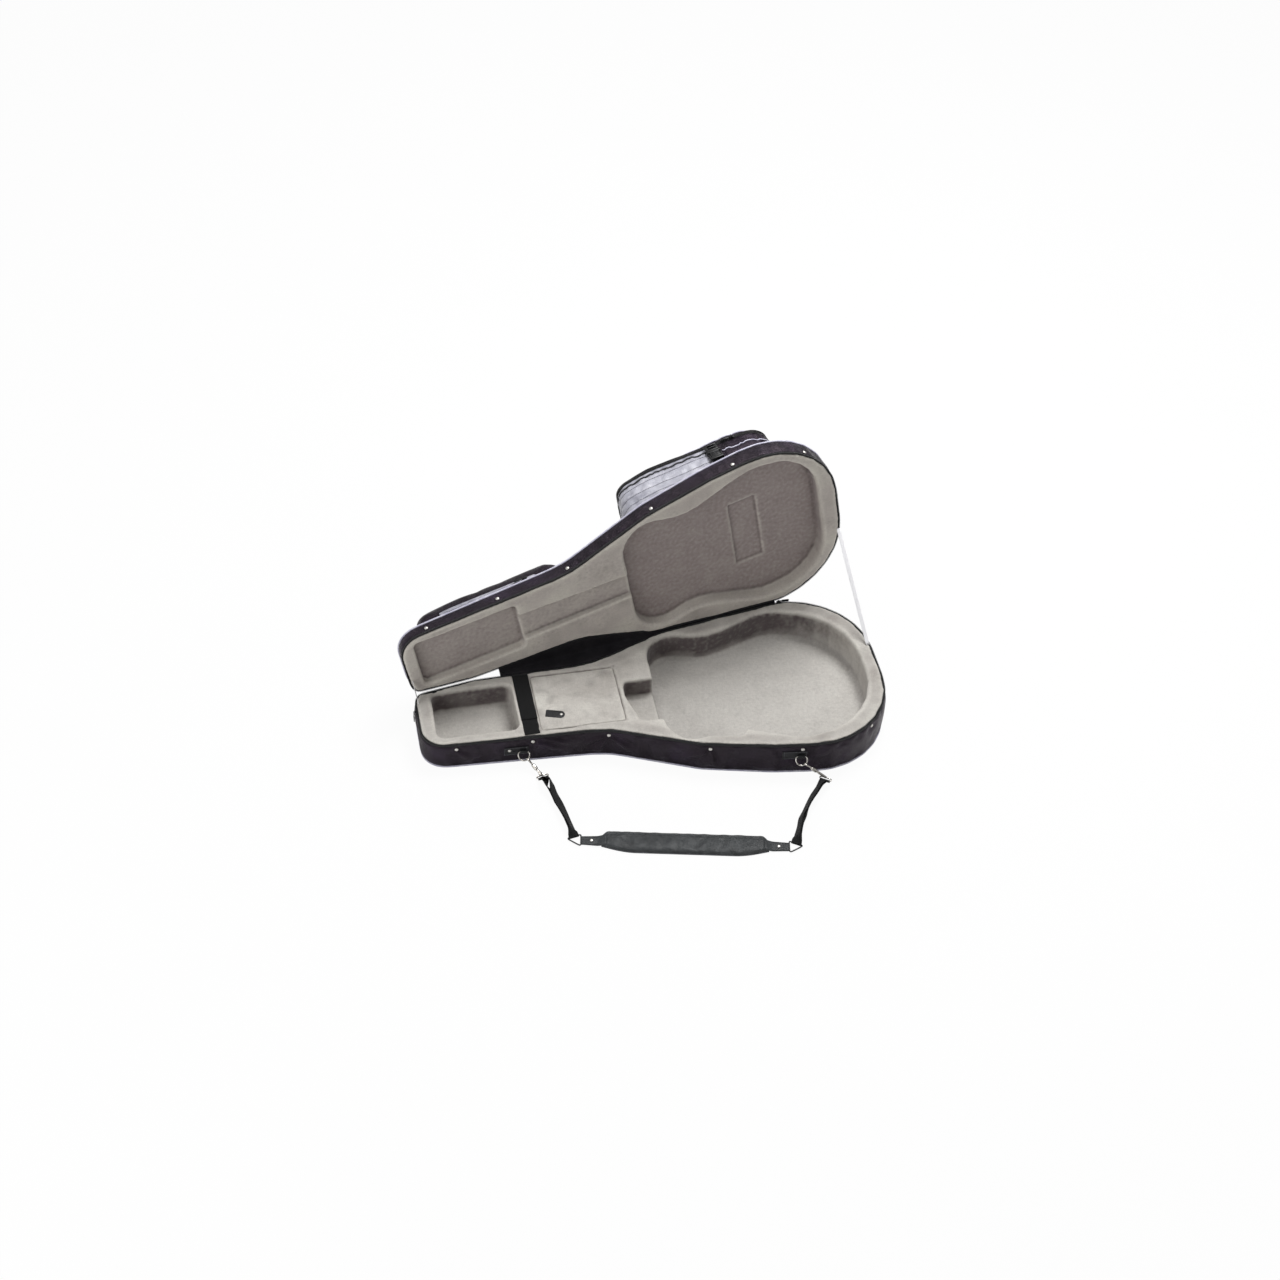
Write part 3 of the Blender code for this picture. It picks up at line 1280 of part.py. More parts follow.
def hang_hook(side, bar, swivel_bar, run, axis, hang, parent):
    """A D-ring on its bar, the hook on the D-ring's bow, and the swivel that the webbing holds."""
    d_ring("dring_" + side, bar, axis, hang, parent)
    shoulder = swivel_bar - run * SWIVEL_DEPTH
    half = DRING_BAR / 2
    pull = (shoulder - bar - hang * DRING_REACH).normalized()
    spread = math.asin(max(-0.7, min(0.7, pull.dot(axis))))
    contact = bar + hang * (DRING_REACH - half + half * math.cos(spread))
    contact += axis * half * math.sin(spread)
    hold = HOOK_RADIUS - HOOK_WIRE - DRING_WIRE - GAP
    eye = contact + (shoulder - contact).normalized() * hold
    tangent = axis * math.cos(spread) - hang * math.sin(spread)
    barrel_end = snap_hook(side, eye, shoulder, tangent, parent)
    build_swivel(side, barrel_end, shoulder, swivel_bar, Vector((-run.y, run.x, 0)), parent)


def build_carry_handle():
    """A grip on a wire bail that turns in two mounts on the hinge side."""
    ends = []
    for x in (HANDLE_HEAD_X, HANDLE_BODY_X):
        seat, along = wall_frame(x, 1)
        outward = Vector((-along.y, along.x))
        point = seat + outward * HANDLE_STANDOFF
        ends.append((Vector((point.x, point.y, -HANDLE_DROP)), seat, along, outward))
    head, body = ends[0][0], ends[1][0]
    axis_way = (body - head).normalized()
    for name, (point, seat, along, outward) in zip(("handle_mount_head", "handle_mount_body"), ends):
        sleeve_mount(name, seat, Vector((along.x, along.y, 0)), Vector((outward.x, outward.y, 0)),
                     point, axis_way, HANDLE_MOUNT_LENGTH, PATCH_HEIGHT * 0.8, 0.0)
    axis = rotated_empty("carry_handle_axis", head, Quaternion(), BASE_FRAME)
    span = (body - head).length
    pin = SLEEVE_LENGTH / 2 + 0.002
    bend = 0.006
    reach = HANDLE_REACH
    points = [Vector((-pin, 0, 0)), Vector((pin, 0, 0)), Vector((pin + bend, bend, 0)),
              Vector((pin + bend, reach - bend, 0)), Vector((pin + 2 * bend, reach, 0)),
              Vector((span - pin - 2 * bend, reach, 0)), Vector((span - pin - bend, reach - bend, 0)),
              Vector((span - pin - bend, bend, 0)), Vector((span - pin, 0, 0)), Vector((span + pin, 0, 0))]
    bail = apply_modifiers(linked(wire("carry_handle", points, HANDLE_WIRE)))
    grip = cylinder("grip", HANDLE_GRIP_RADIUS, span - 2 * (pin + 2 * bend) - 0.010)
    grip.matrix_local = Matrix.Translation(Vector((span / 2, reach, 0))) @ TURN_TO_X
    handle = joined("carry_handle", [bail, grip])
    down = Vector((0, 0, -1))
    handle.matrix_local = Matrix((axis_way, down, axis_way.cross(down))).transposed().to_4x4()
    finish(handle, PLASTIC, axis)


def build_stays():
    """Ribbons that stop the lid: straight bands from the base's rim to the lid's rim."""
    turn = Quaternion(HINGE_DIRECTION, -LID_OPEN_ANGLE)
    for name, x, base_y, lid_y in (("butt_stay", STAY_X, BUTT_STAY_BASE_Y, BUTT_STAY_LID_Y),
                                   ("head_stay", -STAY_X, HEAD_STAY_BASE_Y, HEAD_STAY_LID_Y)):
        low = Vector((x, base_y, 0))
        high = HINGE_START + turn @ (Vector((x, lid_y, 0)) - HINGE_START)
        run = (high - low).normalized()
        low += run * 0.001
        high -= run * 0.001
        side = Vector((1, 0, 0))
        side = (side - run * side.dot(run)).normalized()
        thick = run.cross(side)
        rings = []
        for end in (low, high):
            rings.append([end + side * (STAY_WIDTH / 2) * a + thick * (STAY_THICKNESS / 2) * b
                          for a, b in ((-1, -1), (1, -1), (1, 1), (-1, 1))])
        on_base(loft(name, rings), RIBBON)


def build_pocket_buckle():
    """The compression strap over the main pocket's front, with a side-release buckle."""
    x = 0.297
    face_y = -(MAIN_POCKET_HALF_WIDTH + GAP)
    low = lid_top(x) + 0.004
    rings = []
    for z in (low, low + 0.040):
        rings.append([Vector((x - 0.0125, face_y, z)), Vector((x + 0.0125, face_y, z)),
                      Vector((x + 0.0125, face_y - WEBBING_THICKNESS, z)),
                      Vector((x - 0.0125, face_y - WEBBING_THICKNESS, z))])
    on_lid(loft("buckle_webbing", rings), WEBBING)
    socket_z = low + 0.040 + GAP + 0.015
    socket = box("buckle_socket", (0.034, 0.009, 0.030), (x, face_y - 0.0047, socket_z), 0.002)
    on_lid(socket, PLASTIC)
    plug_z = socket_z + 0.015 + GAP + 0.011
    plug = box("buckle_plug", (0.030, 0.007, 0.022), (x, face_y - 0.0042, plug_z), 0.0015)
    on_lid(plug, PLASTIC)


def main():
    build_base()
    build_lid()
    build_hinge_flaps()
    build_accessory_lid()
    build_neck_strap()
    build_main_pocket()
    build_flat_pocket()
    build_neck_pocket()
    build_pocket_zips()
    build_pocket_buckle()
    build_case_zip_sliders()
    build_shoulder_strap()
    build_carry_handle()
    build_stays()
    bpy.context.view_layer.update()


main()
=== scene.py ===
# %% [markdown]
# # A guitar gig bag, lying open
# The bag's solids come first, as a fixed frame: every body, hinge and slide already has its
# place. This script dresses them. Foam gets its plush, boards get their nylon, and rings,
# zips and straps get the detail that a plain solid leaves out.

# %% Load the frame
import json
import math

import bmesh
import bpy
import numpy as np
from mathutils import Matrix, Quaternion, Vector, kdtree, noise

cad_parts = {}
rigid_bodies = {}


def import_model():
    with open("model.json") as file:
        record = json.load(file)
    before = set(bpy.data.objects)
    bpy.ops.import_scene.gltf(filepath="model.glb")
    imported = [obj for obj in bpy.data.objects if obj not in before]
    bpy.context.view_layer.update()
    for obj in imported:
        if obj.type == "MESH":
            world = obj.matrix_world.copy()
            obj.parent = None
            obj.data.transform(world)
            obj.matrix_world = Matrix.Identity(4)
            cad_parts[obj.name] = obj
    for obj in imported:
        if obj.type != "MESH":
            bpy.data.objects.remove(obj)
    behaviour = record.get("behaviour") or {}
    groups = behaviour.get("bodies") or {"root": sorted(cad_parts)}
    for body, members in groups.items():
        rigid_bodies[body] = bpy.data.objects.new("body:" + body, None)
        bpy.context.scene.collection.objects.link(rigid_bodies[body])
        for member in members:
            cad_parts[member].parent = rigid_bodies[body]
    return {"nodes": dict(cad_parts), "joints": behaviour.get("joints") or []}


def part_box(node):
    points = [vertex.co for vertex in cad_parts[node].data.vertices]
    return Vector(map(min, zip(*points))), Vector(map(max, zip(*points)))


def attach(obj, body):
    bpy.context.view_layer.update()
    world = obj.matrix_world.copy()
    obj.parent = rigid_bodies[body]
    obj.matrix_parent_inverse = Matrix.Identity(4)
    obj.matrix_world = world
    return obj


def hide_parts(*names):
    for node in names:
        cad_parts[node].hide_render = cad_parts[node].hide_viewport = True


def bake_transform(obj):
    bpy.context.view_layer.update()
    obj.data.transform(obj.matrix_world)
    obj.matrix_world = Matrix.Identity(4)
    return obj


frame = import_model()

bpy.context.view_layer.update()
scene = bpy.context.scene

# %% [markdown]
# ## Two places to draw in
# The case is drawn closed and level, with its rim at height zero, because both halves are the
# same outline seen from there. BASE carries such a point to the base as it lies on the floor,
# tipped by the taper of its walls. LID carries it to the lid as it stands open on its hinge.

# %% Where the base and the lid are
RIM_SLOPE = 0.0226
RIM_HEIGHT = 0.0856
LID_SLOPE = 0.0178
LID_DEPTH = 0.0435
tilt = Quaternion((0, 1, 0), -math.atan(RIM_SLOPE))
BASE = Matrix.Translation(tilt @ Vector((0, 0, RIM_HEIGHT))) @ tilt.to_matrix().to_4x4()
hinge = next(joint for joint in frame["joints"] if joint["name"] == "lid_hinge")
hinge_at, hinge_axis = Vector(hinge["pos_m"]), Vector(hinge["axis"])
LID = (Matrix.Translation(hinge_at) @ Matrix.Rotation(-math.pi / 2, 4, hinge_axis)
       @ Matrix.Translation(-hinge_at) @ BASE)


def base_bottom(x):
    """Height of the base's underside, seen from its rim."""
    return -(RIM_HEIGHT + RIM_SLOPE * x)


def lid_top(x):
    """Height of the lid's outer face, seen from its rim."""
    return LID_DEPTH + LID_SLOPE * x


def hinge_y(x):
    """The hinge line, seen from the rim."""
    start = BASE.inverted() @ hinge_at
    way = BASE.to_3x3().inverted() @ hinge_axis
    return start.y + way.y / way.x * (x - start.x)


def placed(points, place):
    """Carry an array of points with a matrix."""
    matrix = np.array(place)
    flat = np.asarray(points, float).reshape(-1, 3)
    return (flat @ matrix[:3, :3].T + matrix[:3, 3]).reshape(np.shape(points))


print("hinge line starts at", [round(v, 3) for v in hinge_at])

# %% [markdown]
# ## The camera
# The view is from the front left, about 44 degrees up, with a long lens: the far rim of the
# lid hardly shrinks. It is set first, since every later choice is judged through it.

# %% Set the camera
AZIMUTH, ELEVATION, ROLL = 0.2187, 0.7700, 0.0332
forward = Vector((math.sin(AZIMUTH) * math.cos(ELEVATION),
                  math.cos(AZIMUTH) * math.cos(ELEVATION), -math.sin(ELEVATION)))
right = forward.cross(Vector((0, 0, 1))).normalized()
up = right.cross(forward)
level_right = right * math.cos(ROLL) + up * math.sin(ROLL)
level_up = up * math.cos(ROLL) - right * math.sin(ROLL)
turn = Matrix((level_right, level_up, -forward)).transposed().to_4x4()
lens = bpy.data.cameras.new("camera")
lens.lens = 67.01
lens.sensor_width = 36
lens.clip_end = 50
camera = bpy.data.objects.new("camera", lens)
camera.matrix_world = BASE @ Matrix.Translation((-0.8691, -3.7783, 3.9143)) @ turn
scene.collection.objects.link(camera)
scene.camera = camera
scene.view_settings.view_transform = "Standard"
print("camera at", [round(v, 2) for v in camera.matrix_world.translation])

# %% [markdown]
# ## Nodes and colours
# A finish is a small net of nodes. One helper adds a node with its settings and its links, and
# one turns a colour as written on a screen into the linear light that the renderer counts in.

# %% Helpers for materials
def linear(hex_colour):
    """A #RRGGBB colour as linear light."""
    parts = [int(hex_colour[k:k + 2], 16) / 255 for k in (1, 3, 5)]
    light = [c / 12.92 if c <= 0.04045 else ((c + 0.055) / 1.055) ** 2.4 for c in parts]
    return (*light, 1.0)


def add(tree, kind, sockets=None, **settings):
    """Add a node: settings are its options, sockets its inputs, as a value or another's output."""
    made = tree.nodes.new(kind)
    for key, value in settings.items():
        setattr(made, key, value)
    for key, value in (sockets or {}).items():
        if isinstance(value, bpy.types.NodeSocket):
            tree.links.new(value, made.inputs[key])
        else:
            made.inputs[key].default_value = value
    return made


def start_material(name, **shader):
    """A new material and its Principled shader, with numbers set on the shader's own sockets."""
    material = bpy.data.materials.new(name)
    material.use_nodes = True
    surface = material.node_tree.nodes["Principled BSDF"]
    for key, value in shader.items():
        surface.inputs[key.replace("_", " ")].default_value = value
    return material, material.node_tree, surface


def mottled(tree, where, shades, size, detail=4.0, seed=0.0):
    """Colour that wanders between shades over patches of a size in metres."""
    shift = add(tree, "ShaderNodeVectorMath", {0: where, 1: (seed, seed * 0.7, 0)}, operation="ADD")
    patches = add(tree, "ShaderNodeTexNoise", {"Vector": shift.outputs[0], "Scale": 1 / size,
                                               "Detail": detail, "Roughness": 0.6})
    ramp = add(tree, "ShaderNodeValToRGB", {"Fac": patches.outputs["Fac"]})
    stops = ramp.color_ramp.elements
    stops[0].position, stops[1].position = 0.32, 0.68
    stops[0].color, stops[1].color = linear(shades[0]), linear(shades[-1])
    for k, shade in enumerate(shades[1:-1], 1):
        extra = stops.new(0.32 + 0.36 * k / (len(shades) - 1))
        extra.color = linear(shade)
    return ramp.outputs["Color"]


def relief(tree, surface, heights):
    """Bump the surface by a row of (height socket, depth in metres), coarse ones first."""
    below = None
    for height, depth in heights:
        links = {"Height": height, "Distance": depth, "Strength": 1.0}
        if below is not None:
            links["Normal"] = below
        below = add(tree, "ShaderNodeBump", links).outputs["Normal"]
    tree.links.new(below, surface.inputs["Normal"])


def threads(tree, where, spacing, axis="X"):
    """Even ridges, a spacing apart in metres: the threads, ribs or wales of a cloth."""
    return add(tree, "ShaderNodeTexWave", {"Vector": where, "Scale": 1 / spacing / 20 * math.tau,
                                           "Distortion": 0.4, "Detail": 1.0, "Detail Scale": 2.0},
               wave_type="BANDS", bands_direction=axis).outputs["Fac"]


print("helpers ready")

# %% [markdown]
# ## Plush
# The lining is short-pile polyester plush glued over foam: grey fibres that stand up a
# millimetre or two. Part of its light and shade is painted into its colour. Four marks on the
# mesh say where: painted shade deep in the lid's hollows, painted shade on walls that face one
# way and on the base's rim by its wall, mixed with random blotches of tone, painted shade in
# folds and in the gap round the accessory lid, and a painted highlight on convex edges and on
# the lid's walls that face up. The material mixes a shade in for each. The pile itself is finer
# than a pixel of the render and is drawn as coarse as it needs to show.

# %% Make the plush
def plush(name, shades, recess_colour, wall_shade_colour, crease_shade_colour, highlight_colour):
    """Plush that reads four marks from 0 to 1: painted shade in recesses, on walls and in creases, and a painted
    highlight.
    """
    material, tree, surface = start_material(name, Roughness=0.95, Specular_IOR_Level=0.12,
                                             Sheen_Weight=0.25, Sheen_Roughness=0.55)
    where = add(tree, "ShaderNodeTexCoord").outputs["Object"]
    colour = mottled(tree, where, shades, 0.10, 2.5)
    strokes = add(tree, "ShaderNodeTexNoise", {"Vector": where, "Scale": 22.0, "Detail": 3.0})
    streaky = add(tree, "ShaderNodeMapRange", {"Value": strokes.outputs["Fac"], "From Min": 0.35,
                                               "From Max": 0.65, "To Min": 0.86, "To Max": 1.12})
    # Each mark mixes in painted shade, or a painted highlight for the last, made streaky by noise.
    for title, shade in (("recess", recess_colour), ("nap", wall_shade_colour), ("crease", crease_shade_colour), ("tip", highlight_colour)):
        share = add(tree, "ShaderNodeAttribute", attribute_name=title)
        uneven = add(tree, "ShaderNodeMath", {0: share.outputs["Fac"], 1: streaky.outputs[0]},
                     operation="MULTIPLY", use_clamp=True)
        colour = add(tree, "ShaderNodeMix", {0: uneven.outputs[0], 6: colour, 7: linear(shade)},
                     data_type="RGBA").outputs[2]
    grain = None
    for stretch in ((75, 520, 520), (520, 110, 300), (620, 620, 620)):
        long_way = add(tree, "ShaderNodeVectorMath", {0: where, 1: stretch}, operation="MULTIPLY")
        rows = add(tree, "ShaderNodeTexNoise", {"Vector": long_way.outputs[0], "Scale": 1.0,
                                                "Detail": 2.0, "Roughness": 0.7}).outputs["Fac"]
        grain = rows if grain is None else add(tree, "ShaderNodeMath", {0: grain, 1: rows}).outputs[0]
    fine = add(tree, "ShaderNodeMapRange", {"Value": grain, "From Min": 1.1, "From Max": 1.9,
                                            "To Min": 0.84, "To Max": 1.13})
    lit = add(tree, "ShaderNodeVectorMath", {0: colour, 1: fine.outputs[0]}, operation="MULTIPLY")
    tree.links.new(lit.outputs[0], surface.inputs["Base Color"])
    relief(tree, surface, [(grain, 0.0004)])
    return material


# The last four colours of each plush are painted shade in recesses, painted shade on walls, painted shade in
# creases and a painted highlight.
PLUSH = plush("light_grey_plush", ["#ADA8A2", "#BCB8B2", "#C9C6BF"], "#BDBAB5", "#52494A", "#756D6B", "#CFCCC4")
LID_PLUSH = plush("lid_grey_plush", ["#A8A19B", "#B7B0AA", "#C3BEB5"], "#958A88", "#756A69", "#5A504F", "#CFCAC1")
print("plush:", PLUSH.name, LID_PLUSH.name)

# %% [markdown]
# ## Cloths, tapes and leatherette
# The shell is black 420 denier nylon, woven over a waterproof coat that gives it a soft
# purple-grey sheen. Threads lie about half a millimetre apart and are drawn at one. The rim is
# bound with ribbed grosgrain, the strap is thick ribbed webbing, the pad is embossed
# leatherette, and the big pocket's side is silver nylon. Each reads the piece's own cloth map,
# laid out in metres, so that a thread keeps its size round every corner.

# %% Make the cloths
def woven(name, shades, thread, rough, sheen="#D2BCD0", sheen_weight=0.06, depth=0.0002, patch=0.06,
          gloss=0.45):
    """A plain weave: two sets of threads across each other, and shades that wander."""
    material, tree, surface = start_material(name, Roughness=rough, Sheen_Weight=sheen_weight,
                                             Sheen_Roughness=0.35, Specular_IOR_Level=gloss)
    surface.inputs["Sheen Tint"].default_value = linear(sheen)
    surface.inputs["Specular Tint"].default_value = linear(sheen)
    cloth = add(tree, "ShaderNodeUVMap", uv_map="cloth").outputs["UV"]
    where = add(tree, "ShaderNodeTexCoord").outputs["Object"]
    tree.links.new(mottled(tree, where, shades, patch), surface.inputs["Base Color"])
    warp, weft = threads(tree, cloth, thread), threads(tree, cloth, thread, "Y")
    weave = add(tree, "ShaderNodeMath", {0: warp, 1: weft}, operation="MULTIPLY")
    rub = add(tree, "ShaderNodeTexNoise", {"Vector": where, "Scale": 14.0, "Detail": 2.0,
                                           "Distortion": 1.5})
    relief(tree, surface, [(rub.outputs["Fac"], 0.0030), (weave.outputs[0], depth)])
    return material


def ribbed(name, shades, rib, rough, depth=0.0004, axis="X", sheen_weight=0.15):
    """A narrow woven band with ribs across it."""
    material, tree, surface = start_material(name, Roughness=rough, Sheen_Weight=sheen_weight,
                                             Sheen_Roughness=0.5, Specular_IOR_Level=0.35)
    cloth = add(tree, "ShaderNodeUVMap", uv_map="cloth").outputs["UV"]
    ribs = threads(tree, cloth, rib, axis)
    fine = threads(tree, cloth, rib * 0.6, "Y" if axis == "X" else "X")
    fuzz = add(tree, "ShaderNodeTexNoise", {"Vector": cloth, "Scale": 700.0, "Detail": 2.0})
    shade = add(tree, "ShaderNodeMath", {0: ribs, 1: fuzz.outputs["Fac"]}, operation="MULTIPLY")
    ramp = add(tree, "ShaderNodeValToRGB", {"Fac": shade.outputs[0]})
    ramp.color_ramp.elements[0].color = linear(shades[0])
    ramp.color_ramp.elements[1].color = linear(shades[1])
    ramp.color_ramp.elements[1].position = 0.6
    tree.links.new(ramp.outputs["Color"], surface.inputs["Base Color"])
    relief(tree, surface, [(ribs, depth), (fine, depth * 0.5)])
    return material


def leatherette(name, shades, grain, rough):
    """Embossed coated cloth: rounded pebbles with narrow creases between them."""
    material, tree, surface = start_material(name, Roughness=rough, Specular_IOR_Level=0.45)
    where = add(tree, "ShaderNodeTexCoord").outputs["Object"]
    tree.links.new(mottled(tree, where, shades, 0.02), surface.inputs["Base Color"])
    pebbles = add(tree, "ShaderNodeTexVoronoi", {"Vector": where, "Scale": 1 / grain},
                  feature="DISTANCE_TO_EDGE")
    creases = add(tree, "ShaderNodeMapRange", {"Value": pebbles.outputs["Distance"],
                                               "From Max": 0.12}, interpolation_type="SMOOTHSTEP")
    folds = add(tree, "ShaderNodeTexNoise", {"Vector": where, "Scale": 60.0, "Detail": 3.0})
    relief(tree, surface, [(folds.outputs["Fac"], 0.0008), (creases.outputs[0], 0.00025)])
    return material


def moulded(name, shades, rough, grain=2500.0, **more):
    """Moulded plastic or coated cord: nearly even, with a faint satin grain."""
    material, tree, surface = start_material(name, **more)
    where = add(tree, "ShaderNodeTexCoord").outputs["Object"]
    tree.links.new(mottled(tree, where, shades, 0.015), surface.inputs["Base Color"])
    satin = add(tree, "ShaderNodeTexNoise", {"Vector": where, "Scale": grain, "Detail": 2.0})
    gloss = add(tree, "ShaderNodeMapRange", {"Value": satin.outputs["Fac"], "To Min": rough * 0.85,
                                             "To Max": rough * 1.15})
    tree.links.new(gloss.outputs[0], surface.inputs["Roughness"])
    relief(tree, surface, [(satin.outputs["Fac"], 0.00003)])
    return material


NYLON = woven("black_oxford_nylon", ["#100E12", "#17141A", "#241E2A"], 0.0010, 0.36)
LINING = woven("black_lining_cloth", ["#1A191B", "#222123", "#2A292B"], 0.0012, 0.75, "#888899", 0.04,
               gloss=0.2)
SILVER = woven("silver_oxford_nylon", ["#9696A2", "#B0B0BB", "#CDCDD6"], 0.0011, 0.27, "#FFFFFF", 0.1,
               gloss=0.9)
GROSGRAIN = ribbed("black_grosgrain", ["#08080A", "#1B1B20"], 0.0012, 0.65)
WEBBING = ribbed("black_nylon_webbing", ["#040405", "#101214"], 0.0022, 0.8, 0.0005, sheen_weight=0.02)
RIBBON = ribbed("white_satin_ribbon", ["#E6E6EA", "#FBFBFD"], 0.0009, 0.4, 0.0001)
HOOK_TAPE = ribbed("hook_and_loop_tape", ["#020203", "#0E0F11"], 0.0016, 0.95, 0.0007, "Y", 0.03)
PAD_SKIN = leatherette("grey_black_leatherette", ["#2B2D2F", "#333638", "#3E4143"], 0.0016, 0.46)
PATCH_SKIN = leatherette("black_leatherette", ["#121214", "#19191C", "#222226"], 0.0013, 0.5)
PIPING = moulded("white_vinyl_piping", ["#B4B2C8", "#C8C6D8", "#DAD9E6"], 0.38)
ACETAL = moulded("black_acetal", ["#0C0C0D", "#131315", "#1A1A1C"], 0.38)
LACQUER = moulded("black_lacquered_zinc", ["#0D0D0E", "#151517", "#202023"], 0.28)
COIL = moulded("black_zip_coil", ["#0A0A0B", "#111113", "#191A1C"], 0.35)
SILVER_COIL = moulded("silver_zip_coil", ["#9C9CA6", "#B1B1BC", "#C6C6D0"], 0.35)
THREAD = moulded("black_thread", ["#0E0E10", "#17171A", "#222226"], 0.6)
GREY_THREAD = moulded("grey_thread", ["#6B6C74", "#7E7F88", "#93949C"], 0.6)
print("cloths:", NYLON.name, SILVER.name, WEBBING.name, PAD_SKIN.name)

# %% [markdown]
# ## Nickel-plated steel
# Rings, hooks, studs and sliders are bent or pressed steel with a bright nickel plate. Nickel
# is a little warmer and darker than chrome. Tumbling before plating leaves a soft finish, and
# use leaves fine rubs, which show as small changes of gloss.

# %% Make the metal
def plated(name, shades, rough):
    material, tree, surface = start_material(name, Metallic=1.0)
    where = add(tree, "ShaderNodeTexCoord").outputs["Object"]
    tree.links.new(mottled(tree, where, shades, 0.0035), surface.inputs["Base Color"])
    rubs = add(tree, "ShaderNodeTexNoise", {"Vector": where, "Scale": 600.0, "Detail": 6.0})
    gloss = add(tree, "ShaderNodeMapRange", {"Value": rubs.outputs["Fac"], "From Min": 0.35,
                                             "From Max": 0.7, "To Min": rough, "To Max": rough * 2})
    tree.links.new(gloss.outputs[0], surface.inputs["Roughness"])
    relief(tree, surface, [(rubs.outputs["Fac"], 0.00004)])
    return material


# The nickel's darkest shade, in small patches, is painted: it stands in for the dark surroundings reflected in the
# plate.
NICKEL = plated("nickel_plated_steel", ["#6E6862", "#CFCBC5", "#E6E3DE"], 0.16)
SATIN_NICKEL = plated("satin_nickel", ["#D2CFCA", "#F0EEEA"], 0.36)
print("metal:", NICKEL.name, SATIN_NICKEL.name)

# %% [markdown]
# ## Floor and light
# The bag lies on a plain white sweep. The floor is white paper, and part of it glows for the
# camera alone, so the paper reads white while shadows stay. One broad lamp high on the left
# and the white room itself light it softly.

# %% Lay the floor and hang the lamps
def white_floor():
    mesh = bpy.data.meshes.new("floor")
    mesh.from_pydata([(-9, -9, 0), (9, -9, 0), (9, 9, 0), (-9, 9, 0)], [], [(0, 1, 2, 3)])
    floor = bpy.data.objects.new("floor", mesh)
    scene.collection.objects.link(floor)
    material, tree, surface = start_material("white_paper", Roughness=0.9, Specular_IOR_Level=0.1)
    where = add(tree, "ShaderNodeTexCoord").outputs["Object"]
    tree.links.new(mottled(tree, where, ["#E9E9E9", "#EFEFEF"], 0.4), surface.inputs["Base Color"])
    seen = add(tree, "ShaderNodeLightPath")
    share = add(tree, "ShaderNodeMath", {0: seen.outputs["Is Camera Ray"], 1: 0.95}, operation="MULTIPLY")
    glow = add(tree, "ShaderNodeEmission", {"Color": (1, 1, 1, 1), "Strength": 1.0})
    both = add(tree, "ShaderNodeMixShader", {0: share.outputs[0], 1: surface.outputs[0],
                                             2: glow.outputs[0]})
    tree.links.new(both.outputs[0], tree.nodes["Material Output"].inputs["Surface"])
    mesh.materials.append(material)


def white_room(strength):
    world = bpy.data.worlds.new("white_room")
    scene.world = world
    world.use_nodes = True
    tree = world.node_tree
    lit = tree.nodes["Background"]
    lit.inputs["Color"].default_value = (1.0, 0.995, 0.985, 1)
    lit.inputs["Strength"].default_value = strength
    seen = add(tree, "ShaderNodeLightPath")
    white = add(tree, "ShaderNodeBackground", {"Color": (1, 1, 1, 1), "Strength": 1.0})
    both = add(tree, "ShaderNodeMixShader", {0: seen.outputs["Is Camera Ray"], 1: lit.outputs[0],
                                             2: white.outputs[0]})
    tree.links.new(both.outputs[0], tree.nodes["World Output"].inputs["Surface"])


def lamp(name, at, size, power):
    """A square lamp that faces the middle of the bag."""
    data = bpy.data.lights.new(name, "AREA")
    data.size = size
    data.energy = power
    thing = bpy.data.objects.new(name, data)
    thing.location = at
    thing.rotation_mode = "QUATERNION"
    thing.rotation_quaternion = (Vector((0, 0, 0.1)) - Vector(at)).to_track_quat("-Z", "Y")
    scene.collection.objects.link(thing)


white_floor()
white_room(0.36)
lamp("key", (1.0, 1.1, 3.4), 1.5, 120)
lamp("fill", (-2.8, -1.7, 1.5), 1.6, 26)
print("floor and lamps ready")

# %% [markdown]
# ## Shapes from the solids
# The solids know each outline, so the fine pieces ask them. Slicing a solid with a plane gives
# its outline there as loops. A loop is then measured out again at even steps, which a hem, a
# zip or a row of stitches needs, and its drawn corners are eased, as cloth eases them.

# %% Helpers for outlines
def welded(node):
    """A copy of a solid's mesh with its loose triangles joined up."""
    bm = bmesh.new()
    bm.from_mesh(frame["nodes"][node].data)
    bmesh.ops.remove_doubles(bm, verts=bm.verts, dist=0.00002)
    return bm


def section(node, height, place):
    """Loops where the plane at a height of BASE or LID cuts a solid, the longest first."""
    bm = welded(node)
    bm.transform(place.inverted())
    cut = bmesh.ops.bisect_plane(bm, geom=bm.verts[:] + bm.edges[:] + bm.faces[:],
                                 plane_co=(0, 0, height), plane_no=(0, 0, 1))
    edges = {item for item in cut["geom_cut"] if isinstance(item, bmesh.types.BMEdge)}
    loops = []
    while edges:
        edge = edges.pop()
        chain = list(edge.verts)
        while True:
            ahead = next((e for e in chain[-1].link_edges if e in edges), None)
            if ahead is None:
                break
            edges.discard(ahead)
            chain.append(ahead.other_vert(chain[-1]))
        loops.append(np.array([v.co[:2] for v in (chain[:-1] if chain[0] is chain[-1] else chain)]))
    bm.free()
    return sorted(loops, key=lambda loop: -perimeter(loop))


def perimeter(loop):
    return float(np.linalg.norm(np.roll(loop, -1, 0) - loop, axis=1).sum())


